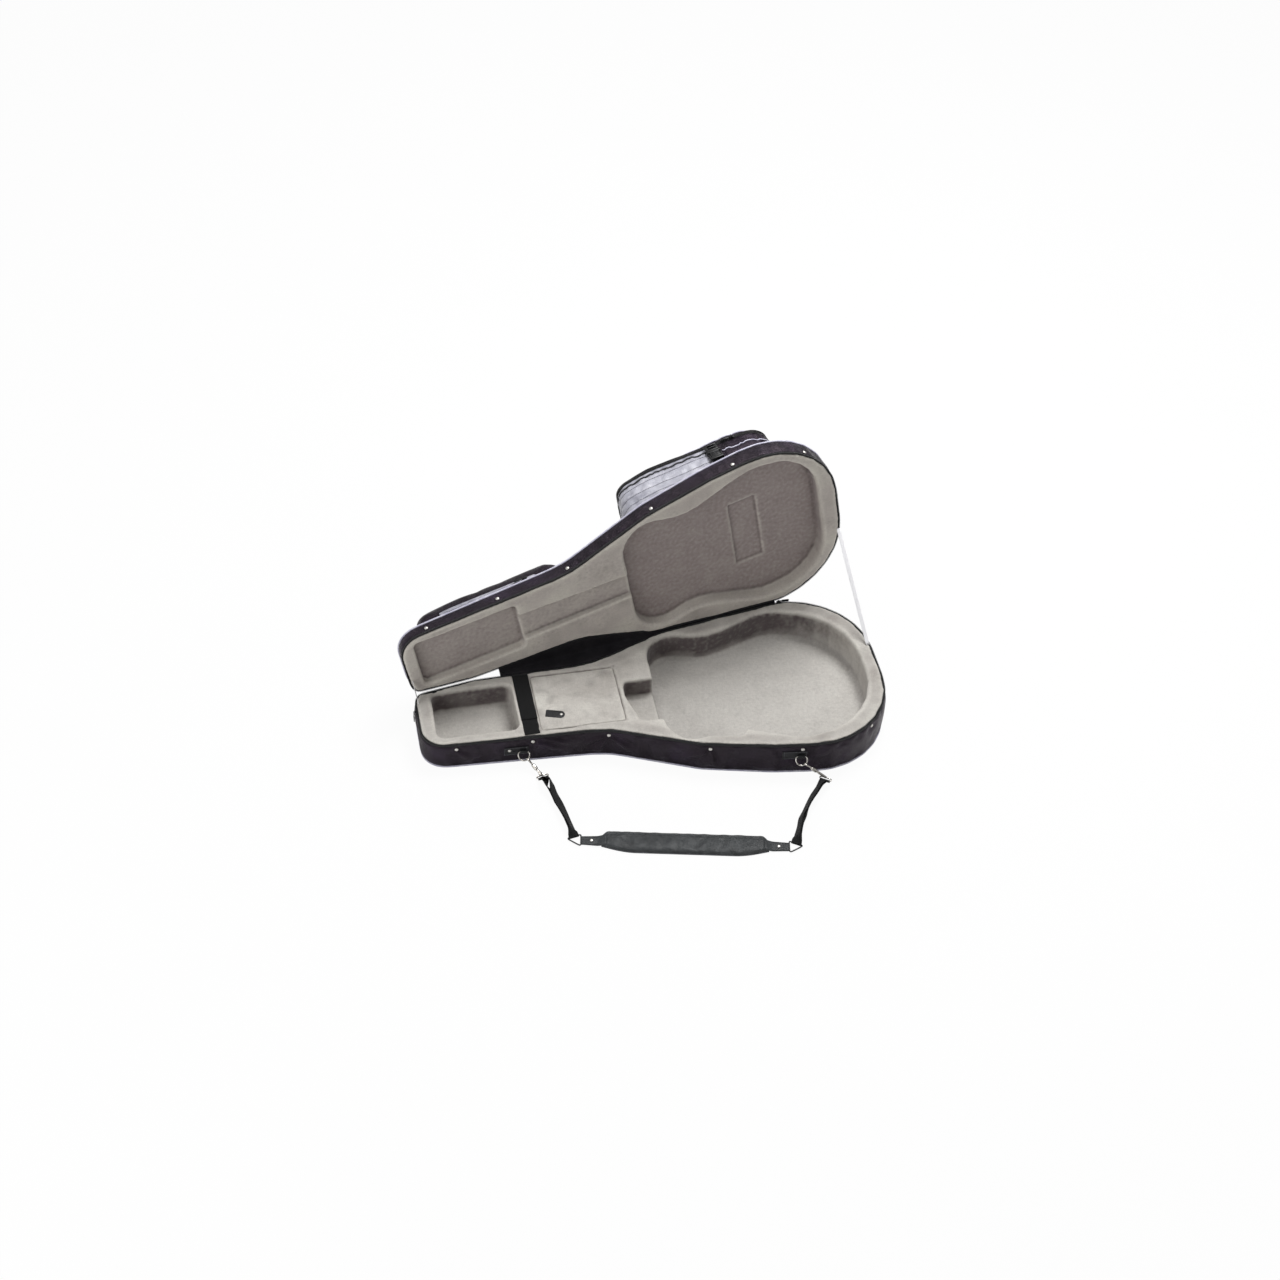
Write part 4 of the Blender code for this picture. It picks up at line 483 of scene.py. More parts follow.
def eased(loop, spacing, ease=0.012):
    """A closed outline at even steps, anticlockwise, with corners eased over a length."""
    loop = np.asarray(loop)
    x, y = loop[:, 0], loop[:, 1]
    if np.sum(x * np.roll(y, -1) - np.roll(x, -1) * y) < 0:
        loop = loop[::-1]
    sides = np.linalg.norm(np.roll(loop, -1, 0) - loop, axis=1)
    reach = np.concatenate([[0], np.cumsum(sides)])
    count = int(round(reach[-1] / spacing))
    at = np.arange(count) * reach[-1] / count
    ring = np.vstack([loop, loop[:1]])
    even = np.stack([np.interp(at, reach, ring[:, k]) for k in (0, 1)], 1)
    for _ in range(int(round((ease / (reach[-1] / count)) ** 2))):
        even = 0.5 * even + 0.25 * (np.roll(even, 1, 0) + np.roll(even, -1, 0))
    return even


def outwards(loop):
    """Unit normals of an anticlockwise outline."""
    along = np.roll(loop, -1, 0) - np.roll(loop, 1, 0)
    along /= np.linalg.norm(along, axis=1, keepdims=True)
    return np.stack([along[:, 1], -along[:, 0]], 1)


def ring3(loop, out, height):
    """An outline moved outwards by a distance, at a height that may be a function of x."""
    moved = loop + outwards(loop) * (out if np.isscalar(out) else np.asarray(out)[:, None])
    level = height(moved[:, 0]) if callable(height) else np.full(len(moved), float(height))
    return np.column_stack([moved, level])


WALL = section("base_side_wall", -0.02, BASE)[0]
outline = eased(WALL, 0.006)


def on_wall(x, side=-1):
    """The outline's point at x on the front (-1) or the hinge side (1), and its outward normal."""
    out = outwards(outline)
    half = np.where(outline[:, 1] * side > 0)[0]
    k = half[np.argmin(np.abs(outline[half, 0] - x))]
    return outline[k], out[k]


def from_patch(points, x, side, height, half_length, half_height):
    """How far points on a wall lie from a rectangle on it."""
    at, out = on_wall(x, side)
    gap = points[:, :2] - at
    along = np.maximum(np.abs(gap @ np.array([-out[1], out[0]])) - half_length, 0)
    upwards = np.maximum(np.abs(points[:, 2] - height) - half_height, 0)
    return np.hypot(along, upwards) + 10 * (np.abs(gap @ out) > 0.03)


print("outline:", len(outline), "points,", round(perimeter(outline), 3), "m round")

# %% [markdown]
# ## Meshes and pieces
# A strip of cloth is a grid of points, so one function makes grids, and lays a map on them in
# metres. Another finishes a piece: it gives it a material, smooth shading and the body that it
# moves with, and hides the solids that it stands for.

# %% Helpers for meshes
def grid_mesh(name, rows, wrap=False, wrap_rows=False):
    """A mesh through a grid of points, with a cloth map in metres."""
    rows = np.asarray(rows, float)
    high, wide = rows.shape[:2]
    faces, corners = [], []
    for i in range(high if wrap_rows else high - 1):
        for j in range(wide if wrap else wide - 1):
            i2, j2 = (i + 1) % high, (j + 1) % wide
            faces.append((i * wide + j, i * wide + j2, i2 * wide + j2, i2 * wide + j))
            corners += [(i, j), (i, j + 1), (i + 1, j + 1), (i + 1, j)]
    mesh = bpy.data.meshes.new(name)
    mesh.from_pydata(rows.reshape(-1, 3).tolist(), [], faces)
    middle = rows[high // 2]
    u = np.concatenate([[0], np.cumsum(np.linalg.norm(np.roll(middle, -1, 0) - middle, axis=1))])
    column = rows[:, wide // 2]
    v = np.concatenate([[0], np.cumsum(np.linalg.norm(np.roll(column, -1, 0) - column, axis=1))])
    corners = np.array(corners)
    layer = mesh.uv_layers.new(name="cloth")
    layer.data.foreach_set("uv", np.stack([u[corners[:, 1]], v[corners[:, 0]]], 1).ravel())
    thing = bpy.data.objects.new(name, mesh)
    scene.collection.objects.link(thing)
    return thing


def box_map(thing):
    """Lay a cloth map in metres on any mesh, from the side that each face looks to."""
    mesh = thing.data
    layer = mesh.uv_layers.get("cloth") or mesh.uv_layers.new(name="cloth")
    places = np.array([v.co for v in mesh.vertices])
    uv = np.zeros((len(mesh.loops), 2))
    for face in mesh.polygons:
        side = int(np.argmax(np.abs(face.normal)))
        keep = [k for k in (0, 1, 2) if k != side]
        loops = list(face.loop_indices)
        uv[loops] = places[[mesh.loops[k].vertex_index for k in loops]][:, keep]
    layer.data.foreach_set("uv", uv.ravel())


def closed_outwards(thing):
    """Merge doubled points and turn a closed mesh's faces outwards."""
    bm = bmesh.new()
    bm.from_mesh(thing.data)
    bmesh.ops.remove_doubles(bm, verts=bm.verts, dist=0.000005)
    bmesh.ops.recalc_face_normals(bm, faces=bm.faces)
    if bm.calc_volume(signed=True) < 0:
        bmesh.ops.reverse_faces(bm, faces=bm.faces)
    bm.to_mesh(thing.data)
    bm.free()


def applied(thing):
    """Turn an object with modifiers into the plain mesh that it shows."""
    bpy.context.view_layer.update()
    graph = bpy.context.evaluated_depsgraph_get()
    mesh = bpy.data.meshes.new_from_object(thing.evaluated_get(graph))
    thing.modifiers.clear()
    thing.vertex_groups.clear()
    thing.data = mesh
    return thing


def finish(thing, material, body, slot, *nodes, sharp=None):
    """Give a piece its material, shading and body, and hide the solids that it stands for."""
    thing.data.materials.clear()
    thing.data.materials.append(material)
    thing.data.shade_smooth()
    if sharp:
        thing.data.set_sharp_from_angle(angle=math.radians(sharp))
    if body:
        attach(thing, body)
    if nodes:
        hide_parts(*nodes)
    print(thing.name, len(thing.data.polygons), "faces")
    return thing


def thicken(thing, thickness, offset=-1.0):
    """Give a sheet its thickness, inwards unless told otherwise."""
    wall = thing.modifiers.new("thickness", "SOLIDIFY")
    wall.thickness = thickness
    wall.offset = offset
    return applied(thing)


def smoother(thing, levels=1):
    fine = thing.modifiers.new("smooth", "SUBSURF")
    fine.levels = fine.render_levels = levels
    return applied(thing)


def coordinates(thing):
    got = np.empty(len(thing.data.vertices) * 3)
    thing.data.vertices.foreach_get("co", got)
    return got.reshape(-1, 3)


def normals_of(thing):
    got = np.empty(len(thing.data.vertices) * 3)
    thing.data.vertex_normals.foreach_get("vector", got)
    return got.reshape(-1, 3)


def move_to(thing, points):
    thing.data.vertices.foreach_set("co", np.asarray(points, float).ravel())
    thing.data.update()


def neighbours_middle(thing, values):
    """The mean of a value, such as the place, over each point's neighbours."""
    edges = np.empty(len(thing.data.edges) * 2, int)
    thing.data.edges.foreach_get("vertices", edges)
    edges = edges.reshape(-1, 2)
    total = np.zeros_like(values)
    np.add.at(total, edges[:, 0], values[edges[:, 1]])
    np.add.at(total, edges[:, 1], values[edges[:, 0]])
    count = np.maximum(np.bincount(edges.ravel(), minlength=len(values)), 1)
    return total / (count[:, None] if values.ndim > 1 else count)


def relax(thing, rounds, strength=0.5):
    """Ease a mesh: each point moves towards the middle of its neighbours."""
    points = coordinates(thing)
    for _ in range(rounds):
        points += strength * (neighbours_middle(thing, points) - points)
    move_to(thing, points)


def ruffle(thing, size, depth, seed=0.0, fade=None):
    """Raise and lower a mesh along its normals by smooth noise of a size and depth."""
    points, normals = coordinates(thing), normals_of(thing)
    shift = Vector((seed, seed * 1.7, seed * 0.3))
    heights = np.array([noise.noise(Vector(p) / size + shift) for p in points]) * depth
    if fade is not None:
        heights *= fade
    move_to(thing, points + normals * heights[:, None])


print("mesh helpers ready")

# %% [markdown]
# ## Padding covered in plush
# Each half is lined with a block of foam, hollowed to the guitar and covered in plush, so no
# edge in it is sharp. Its solid is filled with small cubes of equal size and skinned again,
# which is Blender's voxel remesh. Easing that skin rounds every edge as the pile does, and a
# little noise makes the slight lumps of cloth glued over foam. The side that nobody sees is cut
# off and closed with a few large faces, so that the fine skin is spent on what shows.

# %% Pad the base, the lid and the accessory lid
def padded_copy(node, name, voxel, rounds, lump):
    """A solid skinned afresh and eased, as foam under plush."""
    bm = welded(node)
    mesh = bpy.data.meshes.new(name)
    bm.to_mesh(mesh)
    bm.free()
    thing = bpy.data.objects.new(name, mesh)
    scene.collection.objects.link(thing)
    skin = thing.modifiers.new("skin", "REMESH")
    skin.mode = "VOXEL"
    skin.voxel_size = voxel
    applied(thing)
    relax(thing, rounds)
    ruffle(thing, 0.045, lump)
    ruffle(thing, 0.009, lump * 0.35, 5.0)
    return thing


def wall_distance(points):
    """How far points lie outside the outline, less than zero inside, and the way outwards."""
    ring = eased(WALL, 0.003)
    out = outwards(ring)
    tree = kdtree.KDTree(len(ring))
    for k, (x, y) in enumerate(ring):
        tree.insert((x, y, 0), k)
    tree.balance()
    near = np.array([tree.find((x, y, 0))[1] for x, y in points[:, :2]])
    return np.sum((points[:, :2] - ring[near]) * out[near], axis=1), out[near]


def plain_back(thing, place, inset, floor):
    """Cut off the hidden outside below 8 mm, then close it with three rings and one narrow face."""
    local = placed(coordinates(thing), place.inverted())
    far, _ = wall_distance(local)
    hidden = ((far > -inset) & (np.abs(local[:, 2]) > 0.008)) | (np.abs(local[:, 2]) > floor(local[:, 0]))
    bm = bmesh.new()
    bm.from_mesh(thing.data)
    bm.verts.ensure_lookup_table()
    gone = [bm.verts[k] for k in np.where(hidden)[0]]
    bmesh.ops.delete(bm, geom=gone, context="VERTS")
    for step in ("in", "down", "across"):
        edges = [e for e in bm.edges if e.is_boundary]
        grown = [item for item in bmesh.ops.extrude_edge_only(bm, edges=edges)["geom"]
                 if isinstance(item, bmesh.types.BMVert)]
        local = placed([tuple(vert.co) for vert in grown], place.inverted())
        if step == "in":
            local[:, :2] -= wall_distance(local)[1] * 0.0022
        elif step == "down":
            local[:, 2] = np.copysign(floor(local[:, 0]), local[:, 2])
        else:
            local[:, 1] *= 0.1
        for vert, at in zip(grown, placed(local, place)):
            vert.co = at
    bmesh.ops.holes_fill(bm, edges=[e for e in bm.edges if e.is_boundary])
    bm.to_mesh(thing.data)
    bm.free()
    closed_outwards(thing)


def roll_over(thing, place, reach):
    """Carry the plush over the wall's edge near the rim, and right up to the hinge line beside it."""
    local = placed(coordinates(thing), place.inverted())
    far, out = wall_distance(local)
    near_rim = np.clip(1 - (np.abs(local[:, 2]) - 0.003) / 0.006, 0, 1)
    near_wall = np.clip((far + 0.020) / 0.014, 0, 1)
    beside = np.clip((0.34 - np.abs(local[:, 0] - 0.01)) / 0.03, 0, 1) * (local[:, 1] > 0)
    to_hinge = (hinge_y(local[:, 0]) - local[:, 1]) / np.maximum(out[:, 1], 0.3) + far
    beside *= np.clip((0.013 - to_hinge) / 0.004, 0, 1)
    reach = reach + beside * np.clip(to_hinge + 0.0008 - reach, 0, 0.012)
    own_side = -1 if place is BASE else 1
    local[:, 2] = own_side * np.maximum(own_side * local[:, 2], 0.0004)
    local[:, :2] += out * (reach * near_rim * near_wall)[:, None]
    move_to(thing, placed(local, place))


def mark(thing, title, share):
    """Write a mark from 0 to 1 on every point."""
    layer = thing.data.attributes.new(title, "FLOAT", "POINT")
    layer.data.foreach_set("value", np.clip(share, 0, 1).astype(np.float32))


def seam_shade(local):
    """Painted shade from 0 to 1 along the accessory lid's outline, in the gap where its edge meets the lining."""
    x0, x1, half = -0.2705, -0.0735, 0.0865
    wander = np.array([noise.noise(Vector(point) / 0.016) for point in local]) * 0.0022
    beside = np.maximum(np.abs(local[:, 0] - (x0 + x1) / 2) - (x1 - x0) / 2, np.abs(local[:, 1]) - half)
    return np.exp(-((beside + wander) / 0.0026) ** 2) * (np.abs(local[:, 2]) < 0.012)


def mark_plush(thing, place, shallow, deep, shaded_facing, bend=0.00035, blotches=0.0, rim_shade=0.0):
    """Mark painted shade by how deep a point lies, on walls that face one way and in folds, random blotches, and a
    painted highlight on edges.
    """
    local = placed(coordinates(thing), place.inverted())
    depth = np.abs(local[:, 2])
    looks = placed(normals_of(thing), place.inverted().to_3x3().to_4x4())
    steep = np.clip((0.90 - np.abs(looks[:, 2])) / 0.45, 0, 1)
    below = np.clip((depth - 0.003) / 0.010, 0, 1)
    # Painted shade deep in the lid's hollows, weaker towards its head end; in the base the recess colour is close
    # to the plush's own.
    body_end = 0.62 + 0.38 * np.clip((local[:, 0] + 0.25) / 0.2, 0, 1) if place is LID else 1.0
    mark(thing, "recess", np.clip((depth - shallow) / (deep - shallow), 0, 1) * body_end)
    # Random blotches of tone; on the base also painted shade on the rim by its wall.
    blotches_and_rim_shade = np.array([noise.noise(Vector(point) / 0.028) for point in local]) * blotches
    if place is BASE:
        stroked = [noise.noise(Vector((x / 0.13, y / 0.05 + x / 0.30, 3.0))) for x, y, _ in local]
        rim = np.clip((wall_distance(local)[0] + 0.034) / 0.008, 0, 1) * (depth < 0.008)
        blotches_and_rim_shade += 0.10 * np.array(stroked) + rim_shade * rim
    # Painted shade on steep walls that face the shaded way, stronger high on the base's walls.
    fade = np.interp(depth, (0.010, 0.048, 0.078), (1.45, 1.20, 0.55)) if place is BASE else 1.0
    mark(thing, "nap", steep * below * fade * np.clip(looks[:, :2] @ np.array(shaded_facing), 0, 1) + blotches_and_rim_shade)
    stands_out = np.sum((coordinates(thing) - neighbours_middle(thing, coordinates(thing)))
                        * normals_of(thing), axis=1)
    for _ in range(2):
        stands_out = 0.5 * stands_out + 0.5 * neighbours_middle(thing, stands_out)
    # Painted highlight on the lid's walls that face up as it stands open.
    lit_wall = steep * below * np.clip(-looks[:, 1], 0, 1) * 0.8 if place is LID else 0.0
    # Painted shade in concave folds, and in the gap round the accessory lid.
    folds = np.maximum(-stands_out / bend * 0.6, 0.85 * seam_shade(local) * (place is BASE))
    mark(thing, "crease", folds)
    # Painted highlight on convex edges, and on those lid walls.
    mark(thing, "tip", np.maximum(stands_out / bend * 0.6, lit_wall))


def sink_relief(thing, more):
    """Press the relief for the bridge a little deeper into the lid, where the pile has packed down."""
    local = placed(coordinates(thing), LID.inverted())
    corners = np.array([(0.286, -0.102), (0.358, -0.092), (0.353, 0.087), (0.280, 0.093)])
    inside = np.full(len(local), 1.0)
    for a, b in zip(corners, np.roll(corners, -1, 0)):
        side = np.array([a[1] - b[1], b[0] - a[0]]) / np.linalg.norm(b - a)
        inside = np.minimum(inside, np.clip((local[:, :2] - a) @ side / 0.003, 0, 1))
    floor = (np.abs(normals_of(thing) @ np.array(LID.to_3x3() @ Vector((0, 0, 1)))) > 0.5) & (local[:, 2] < 0.027)
    local[:, 2] += more * inside * floor
    move_to(thing, placed(local, LID))


base_foam = padded_copy("base_liner", "base_plush", 0.0030, 3, 0.0014)
roll_over(base_foam, BASE, 0.0045)
plain_back(base_foam, BASE, 0.0062, lambda x: RIM_HEIGHT + RIM_SLOPE * x - 0.004)
mark_plush(base_foam, BASE, 0.030, 0.075, (0.5, -0.95), 0.00035, 0.10, 0.20)
finish(base_foam, PLUSH, "case_base", "light_grey_plush", "base_liner")
lid_foam = padded_copy("lid_liner", "lid_plush", 0.0026, 2, 0.0012)
sink_relief(lid_foam, 0.0025)
roll_over(lid_foam, LID, 0.0045)
plain_back(lid_foam, LID, 0.0062, lambda x: lid_top(x) - 0.004)
mark_plush(lid_foam, LID, 0.009, 0.020, (0.85, 0.25), 0.00018, 0.12)
finish(lid_foam, LID_PLUSH, "lid", "dark_grey_plush", "lid_liner")
flap_foam = padded_copy("accessory_lid", "accessory_lid_plush", 0.0022, 3, 0.0008)
mark_plush(flap_foam, BASE, 0.030, 0.075, (0.5, -0.95), 0.00020, 0.45)
finish(flap_foam, PLUSH, "accessory_lid", "light_grey_plush", "accessory_lid")

# %% [markdown]
# ## Nylon walls
# The nylon is sewn to the rim's binding above and to the piping below, and drawn over a thin
# foam wall, so it can only wrinkle between those two seams. That is a cloth problem, so the
# cloth solver settles it: the strip is pinned along both seams and cut a few percent too big,
# and it buckles into the soft upright folds of the real bag. The folds are capped, so the
# cloth stays against its wall.

# %% Let a strip of cloth settle
def settle(thing, pinned, growth, cap, pressure=0.0, frames=14, stiff=0.6, inwards=0.0035):
    """Run the cloth solver on a mesh held along its seams, then keep what stays within bounds."""
    rest, way = coordinates(thing), normals_of(thing)
    held = thing.vertex_groups.new(name="seams")
    held.add([int(k) for k in pinned], 1.0, "REPLACE")
    cloth = thing.modifiers.new("cloth", "CLOTH")
    cloth.settings.vertex_group_mass = "seams"
    cloth.settings.effector_weights.gravity = 0
    cloth.settings.quality = 4
    cloth.settings.mass = 0.15
    cloth.settings.tension_stiffness = 20
    cloth.settings.compression_stiffness = 20
    cloth.settings.shear_stiffness = 8
    cloth.settings.bending_stiffness = stiff
    cloth.settings.shrink_min = -growth
    cloth.settings.use_pressure = pressure != 0
    cloth.settings.uniform_pressure_force = pressure
    cloth.point_cache.frame_start = 1
    cloth.point_cache.frame_end = frames
    for k in range(1, frames + 1):
        scene.frame_set(k)
    applied(thing)
    scene.frame_set(1)
    moved = coordinates(thing) - rest
    far = np.linalg.norm(moved, axis=1, keepdims=True)
    moved *= np.tanh(far / cap) * cap / np.maximum(far, 1e-9)
    moved -= way * np.minimum(np.sum(moved * way, axis=1, keepdims=True) + inwards, 0)
    move_to(thing, rest + moved)
    print(thing.name, "settled, moved up to", round(float(far.max()) * 1000, 1), "mm")


def pull_fold(thing, place, x0, z0, x1, z1, width, rise):
    """Raise a fold on the front wall, from a stud at x0, z0 to where it runs out at x1, z1."""
    local = placed(coordinates(thing), place.inverted())
    way = np.array([x1 - x0, z1 - z0])
    length = np.linalg.norm(way)
    way /= length
    gap = local[:, [0, 2]] - (x0, z0)
    along, across = gap @ way / length, gap @ np.array([-way[1], way[0]])
    spread = width * (0.5 + np.clip(along, 0, 1))
    crest = np.exp(-(across / spread) ** 2) - 0.5 * np.exp(-((across - 1.8 * spread) / spread) ** 2)
    share = np.clip(along / 0.12, 0, 1) * np.clip((1 - along) / 0.45, 0, 1) * (local[:, 1] < 0)
    move_to(thing, coordinates(thing) + normals_of(thing) * (rise * crest * share)[:, None])


def wall_cloth(name, loop, low, high, place, rows, belly, growth, cap, seed, holds, folds=()):
    """A strip of cloth round an outline, from one seam to the other, flat where things hold it."""
    steps = np.linspace(0, 1, rows)
    lows, highs = ring3(loop, 0.0003, low), ring3(loop, 0.0003, high)
    out = np.tile(outwards(loop), (rows, 1))
    flat = np.concatenate([lows + (highs - lows) * t for t in steps])
    near = np.min([from_patch(flat, *hold) for hold in holds], axis=0)
    wide = len(loop)
    loose = np.repeat(np.sin(np.pi * steps) ** 0.7, wide) * (1 - np.exp(-(near / 0.010) ** 2))
    flat[:, :2] += out * (belly * loose)[:, None]
    thing = grid_mesh(name, placed(flat, place).reshape(rows, wide, 3), wrap=True)
    ruffle(thing, 0.075, 0.0018, seed, loose)
    move_to(thing, coordinates(thing) + normals_of(thing) * (0.0006 * loose)[:, None])
    seams = set(range(wide)) | set(range(wide * (rows - 1), wide * rows))
    settle(thing, sorted(seams | set(np.where(near < 0.0025)[0].tolist())), growth, cap, stiff=5.0,
           inwards=0.0003)
    smoother(thing)
    for fold in folds:
        pull_fold(thing, place, *fold)
    return thing


STUD_PLACES = (-0.466, -0.294, -0.121, 0.101, 0.306, 0.481)
held_base = [(x, -1, -0.0185, 0.002, 0.002) for x in STUD_PLACES]
held_base += [(-0.330, -1, -0.043, 0.030, 0.013), (0.288, -1, -0.036, 0.030, 0.013),
              (-0.170, 1, -0.024, 0.016, 0.012), (-0.035, 1, -0.024, 0.016, 0.012)]
pulled_folds = [(-0.288, -0.020, -0.205, -0.062, 0.0070, 0.0050), (-0.270, -0.014, -0.190, -0.040, 0.0060, 0.0040),
                (-0.126, -0.022, -0.185, -0.046, 0.0065, 0.0044), (-0.116, -0.022, -0.060, -0.066, 0.0070, 0.0052),
                (-0.122, -0.024, -0.146, -0.070, 0.0060, 0.0040), (0.102, -0.022, 0.108, -0.078, 0.0048, 0.0052),
                (0.096, -0.022, 0.028, -0.062, 0.0070, 0.0044), (-0.470, -0.022, -0.430, -0.056, 0.0070, 0.0034)]
base_cloth = wall_cloth("base_wall_nylon", outline, lambda x: base_bottom(x) + 0.0035, -0.0085,
                        BASE, 17, 0.0012, 0.05, 0.0045, 1.0, held_base, pulled_folds)
thicken(base_cloth, 0.0011)
finish(base_cloth, NYLON, "case_base", "black_nylon", "base_side_wall")
held_lid = [(x, -1, 0.0165, 0.002, 0.002) for x in STUD_PLACES]
lid_cloth = wall_cloth("lid_wall_nylon", outline, 0.0085, lambda x: lid_top(x) - 0.0035,
                       LID, 11, 0.0008, 0.03, 0.0025, 7.0, held_lid)
thicken(lid_cloth, 0.0011)
finish(lid_cloth, NYLON, "lid", "black_nylon", "lid_side_wall")

# %% [markdown]
# ## Panels
# The flat back and the outer face are boards under stretched nylon. A panel is a row of rings
# from its edge to its middle, which keeps the edge as smooth as the outline.

# %% Cover the two boards
def disc(name, loop, profile, place, centre, flip=False):
    """Rings from an outline to its centre. profile rows are (share of the way in, out, height)."""
    centre = np.array(centre)
    rows = []
    for inward, out, height in profile:
        ring = ring3(loop, out, 0.0)
        ring[:, :2] = centre + (ring[:, :2] - centre) * (1 - inward)
        ring[:, 2] = height(ring[:, 0]) if callable(height) else height
        rows.append(ring)
    rows = placed(np.array(rows), place)
    thing = grid_mesh(name, rows, wrap=True)
    bm = bmesh.new()
    bm.from_mesh(thing.data)
    bmesh.ops.remove_doubles(bm, verts=bm.verts, dist=0.00001)
    if flip:
        bmesh.ops.reverse_faces(bm, faces=bm.faces)
    bm.to_mesh(thing.data)
    bm.free()
    box_map(thing)
    return thing


def panel(name, height, side, place, body, node, seed):
    profile = [(0.0, -0.001, lambda x: height(x) + side * 0.0045),
               (0.0, -0.0035, lambda x: height(x) + side * 0.0018),
               (0.0, -0.006, lambda x: height(x) + side * 0.0006)]
    for k in range(1, 26):
        profile.append((0.01 + 0.99 * k / 25, -0.006, lambda x: height(x) + side * 0.0006))
    thing = disc(name, eased(WALL, 0.008), profile, place, (0.10, 0.0), flip=side > 0)
    ruffle(thing, 0.09, 0.0005, seed)
    finish(thing, NYLON, body, "black_nylon", node)
    return thing


panel("base_panel_nylon", base_bottom, 1, BASE, "case_base", "base_panel", 2.0)
panel("lid_panel_nylon", lid_top, -1, LID, "lid", "lid_panel", 3.0)

# %% [markdown]
# ## Piping
# The white cord along each outer edge is a vinyl strip folded over a filler cord. It is a
# round tube along the outline, and it also hides the seam between wall and panel.

# %% Run the piping
def tube(name, path, radius, sides=10, closed=False):
    """A round tube along points, turned as little as it can be from one to the next."""
    path = np.asarray(path, float)
    if closed:
        along = np.roll(path, -1, 0) - np.roll(path, 1, 0)
    else:
        along = np.gradient(path, axis=0)
    along /= np.linalg.norm(along, axis=1, keepdims=True)
    side = np.cross(along[0], (0, 0, 1.0) if abs(along[0][2]) < 0.9 else (1.0, 0, 0))
    side /= np.linalg.norm(side)
    rows = []
    radii = np.full(len(path), radius) if np.isscalar(radius) else np.asarray(radius)
    for point, way, size in zip(path, along, radii):
        side = side - way * side.dot(way)
        side /= np.linalg.norm(side)
        other = np.cross(way, side)
        angles = np.arange(sides) * math.tau / sides
        rows.append(point + size * (np.cos(angles)[:, None] * side + np.sin(angles)[:, None] * other))
    thing = grid_mesh(name, rows, wrap=True, wrap_rows=closed)
    if not closed:
        bm = bmesh.new()
        bm.from_mesh(thing.data)
        bmesh.ops.holes_fill(bm, edges=[e for e in bm.edges if e.is_boundary])
        bm.to_mesh(thing.data)
        bm.free()
    closed_outwards(thing)
    return thing


fine_outline = eased(WALL, 0.005)
base_cord = tube("base_piping_cord", placed(ring3(fine_outline, 0.0011, lambda x: base_bottom(x) + 0.0025),
                                            BASE), 0.0022, closed=True)
finish(base_cord, PIPING, "case_base", "white_piping", "base_piping")
lid_cord = tube("lid_piping_cord", placed(ring3(fine_outline, 0.0011, lambda x: lid_top(x) - 0.0025),
                                          LID), 0.0022, closed=True)
finish(lid_cord, PIPING, "lid", "white_piping", "lid_piping")

# %% [markdown]
# ## What repeats: stitches, zip teeth and studs
# Three things repeat by the hundred, and all of them follow a line. One geometry-nodes tree
# walks along a line at a spacing, puts a small cylinder or dome at each step, and points it
# the way that an attribute on the line says. Spacing and sizes are named inputs, so the same
# tree sews, zips and studs. The result is realised and becomes a plain mesh.

# %% Build the tree that repeats
def repeat_tree(name, domed):
    """A node tree that repeats a stitch or tooth, or a stud's dome, along a line."""
    tree = bpy.data.node_groups.new(name, "GeometryNodeTree")
    face = tree.interface
    face.new_socket("Line", in_out="INPUT", socket_type="NodeSocketGeometry")
    for title, value in (("Spacing", 0.004), ("Radius", 0.0004), ("Length", 0.003)):
        socket = face.new_socket(title, in_out="INPUT", socket_type="NodeSocketFloat")
        socket.default_value = value
    face.new_socket("Material", in_out="INPUT", socket_type="NodeSocketMaterial")
    face.new_socket("Pieces", in_out="OUTPUT", socket_type="NodeSocketGeometry")
    given = add(tree, "NodeGroupInput")
    curve = add(tree, "GeometryNodeMeshToCurve", {"Mesh": given.outputs["Line"]})
    steps = add(tree, "GeometryNodeResampleCurve", {"Curve": curve.outputs[0],
                                                    "Length": given.outputs["Spacing"]}, mode="LENGTH")
    if domed:
        item = add(tree, "GeometryNodeMeshUVSphere", {"Segments": 16, "Rings": 8,
                                                      "Radius": given.outputs["Radius"]})
        flat = add(tree, "GeometryNodeTransform", {"Geometry": item.outputs["Mesh"]})
        squat = add(tree, "ShaderNodeMath", {0: given.outputs["Length"], 1: given.outputs["Radius"]},
                    operation="DIVIDE")
        scale = add(tree, "ShaderNodeCombineXYZ", {0: 1.0, 1: 1.0, 2: squat.outputs[0]})
        tree.links.new(scale.outputs[0], flat.inputs["Scale"])
        shape, source = flat.outputs[0], given.outputs["Line"]
    else:
        item = add(tree, "GeometryNodeMeshCylinder", {"Vertices": 6, "Radius": given.outputs["Radius"],
                                                      "Depth": given.outputs["Length"]})
        shape, source = item.outputs["Mesh"], steps.outputs[0]
    aim = add(tree, "GeometryNodeInputNamedAttribute", {"Name": "aim"}, data_type="FLOAT_VECTOR")
    pointing = add(tree, "FunctionNodeAlignRotationToVector", {"Vector": aim.outputs[0]}, axis="Z")
    placed_items = add(tree, "GeometryNodeInstanceOnPoints", {"Points": source, "Instance": shape,
                                                              "Rotation": pointing.outputs[0]})
    solid = add(tree, "GeometryNodeRealizeInstances", {"Geometry": placed_items.outputs[0]})
    painted = add(tree, "GeometryNodeSetMaterial", {"Geometry": solid.outputs[0],
                                                    "Material": given.outputs["Material"]})
    result = add(tree, "NodeGroupOutput", {"Pieces": painted.outputs[0]})
    result.is_active_output = True
    return tree


ROW_TREE = repeat_tree("row_of_stitches_or_teeth", False)
STUD_TREE = repeat_tree("studs", True)


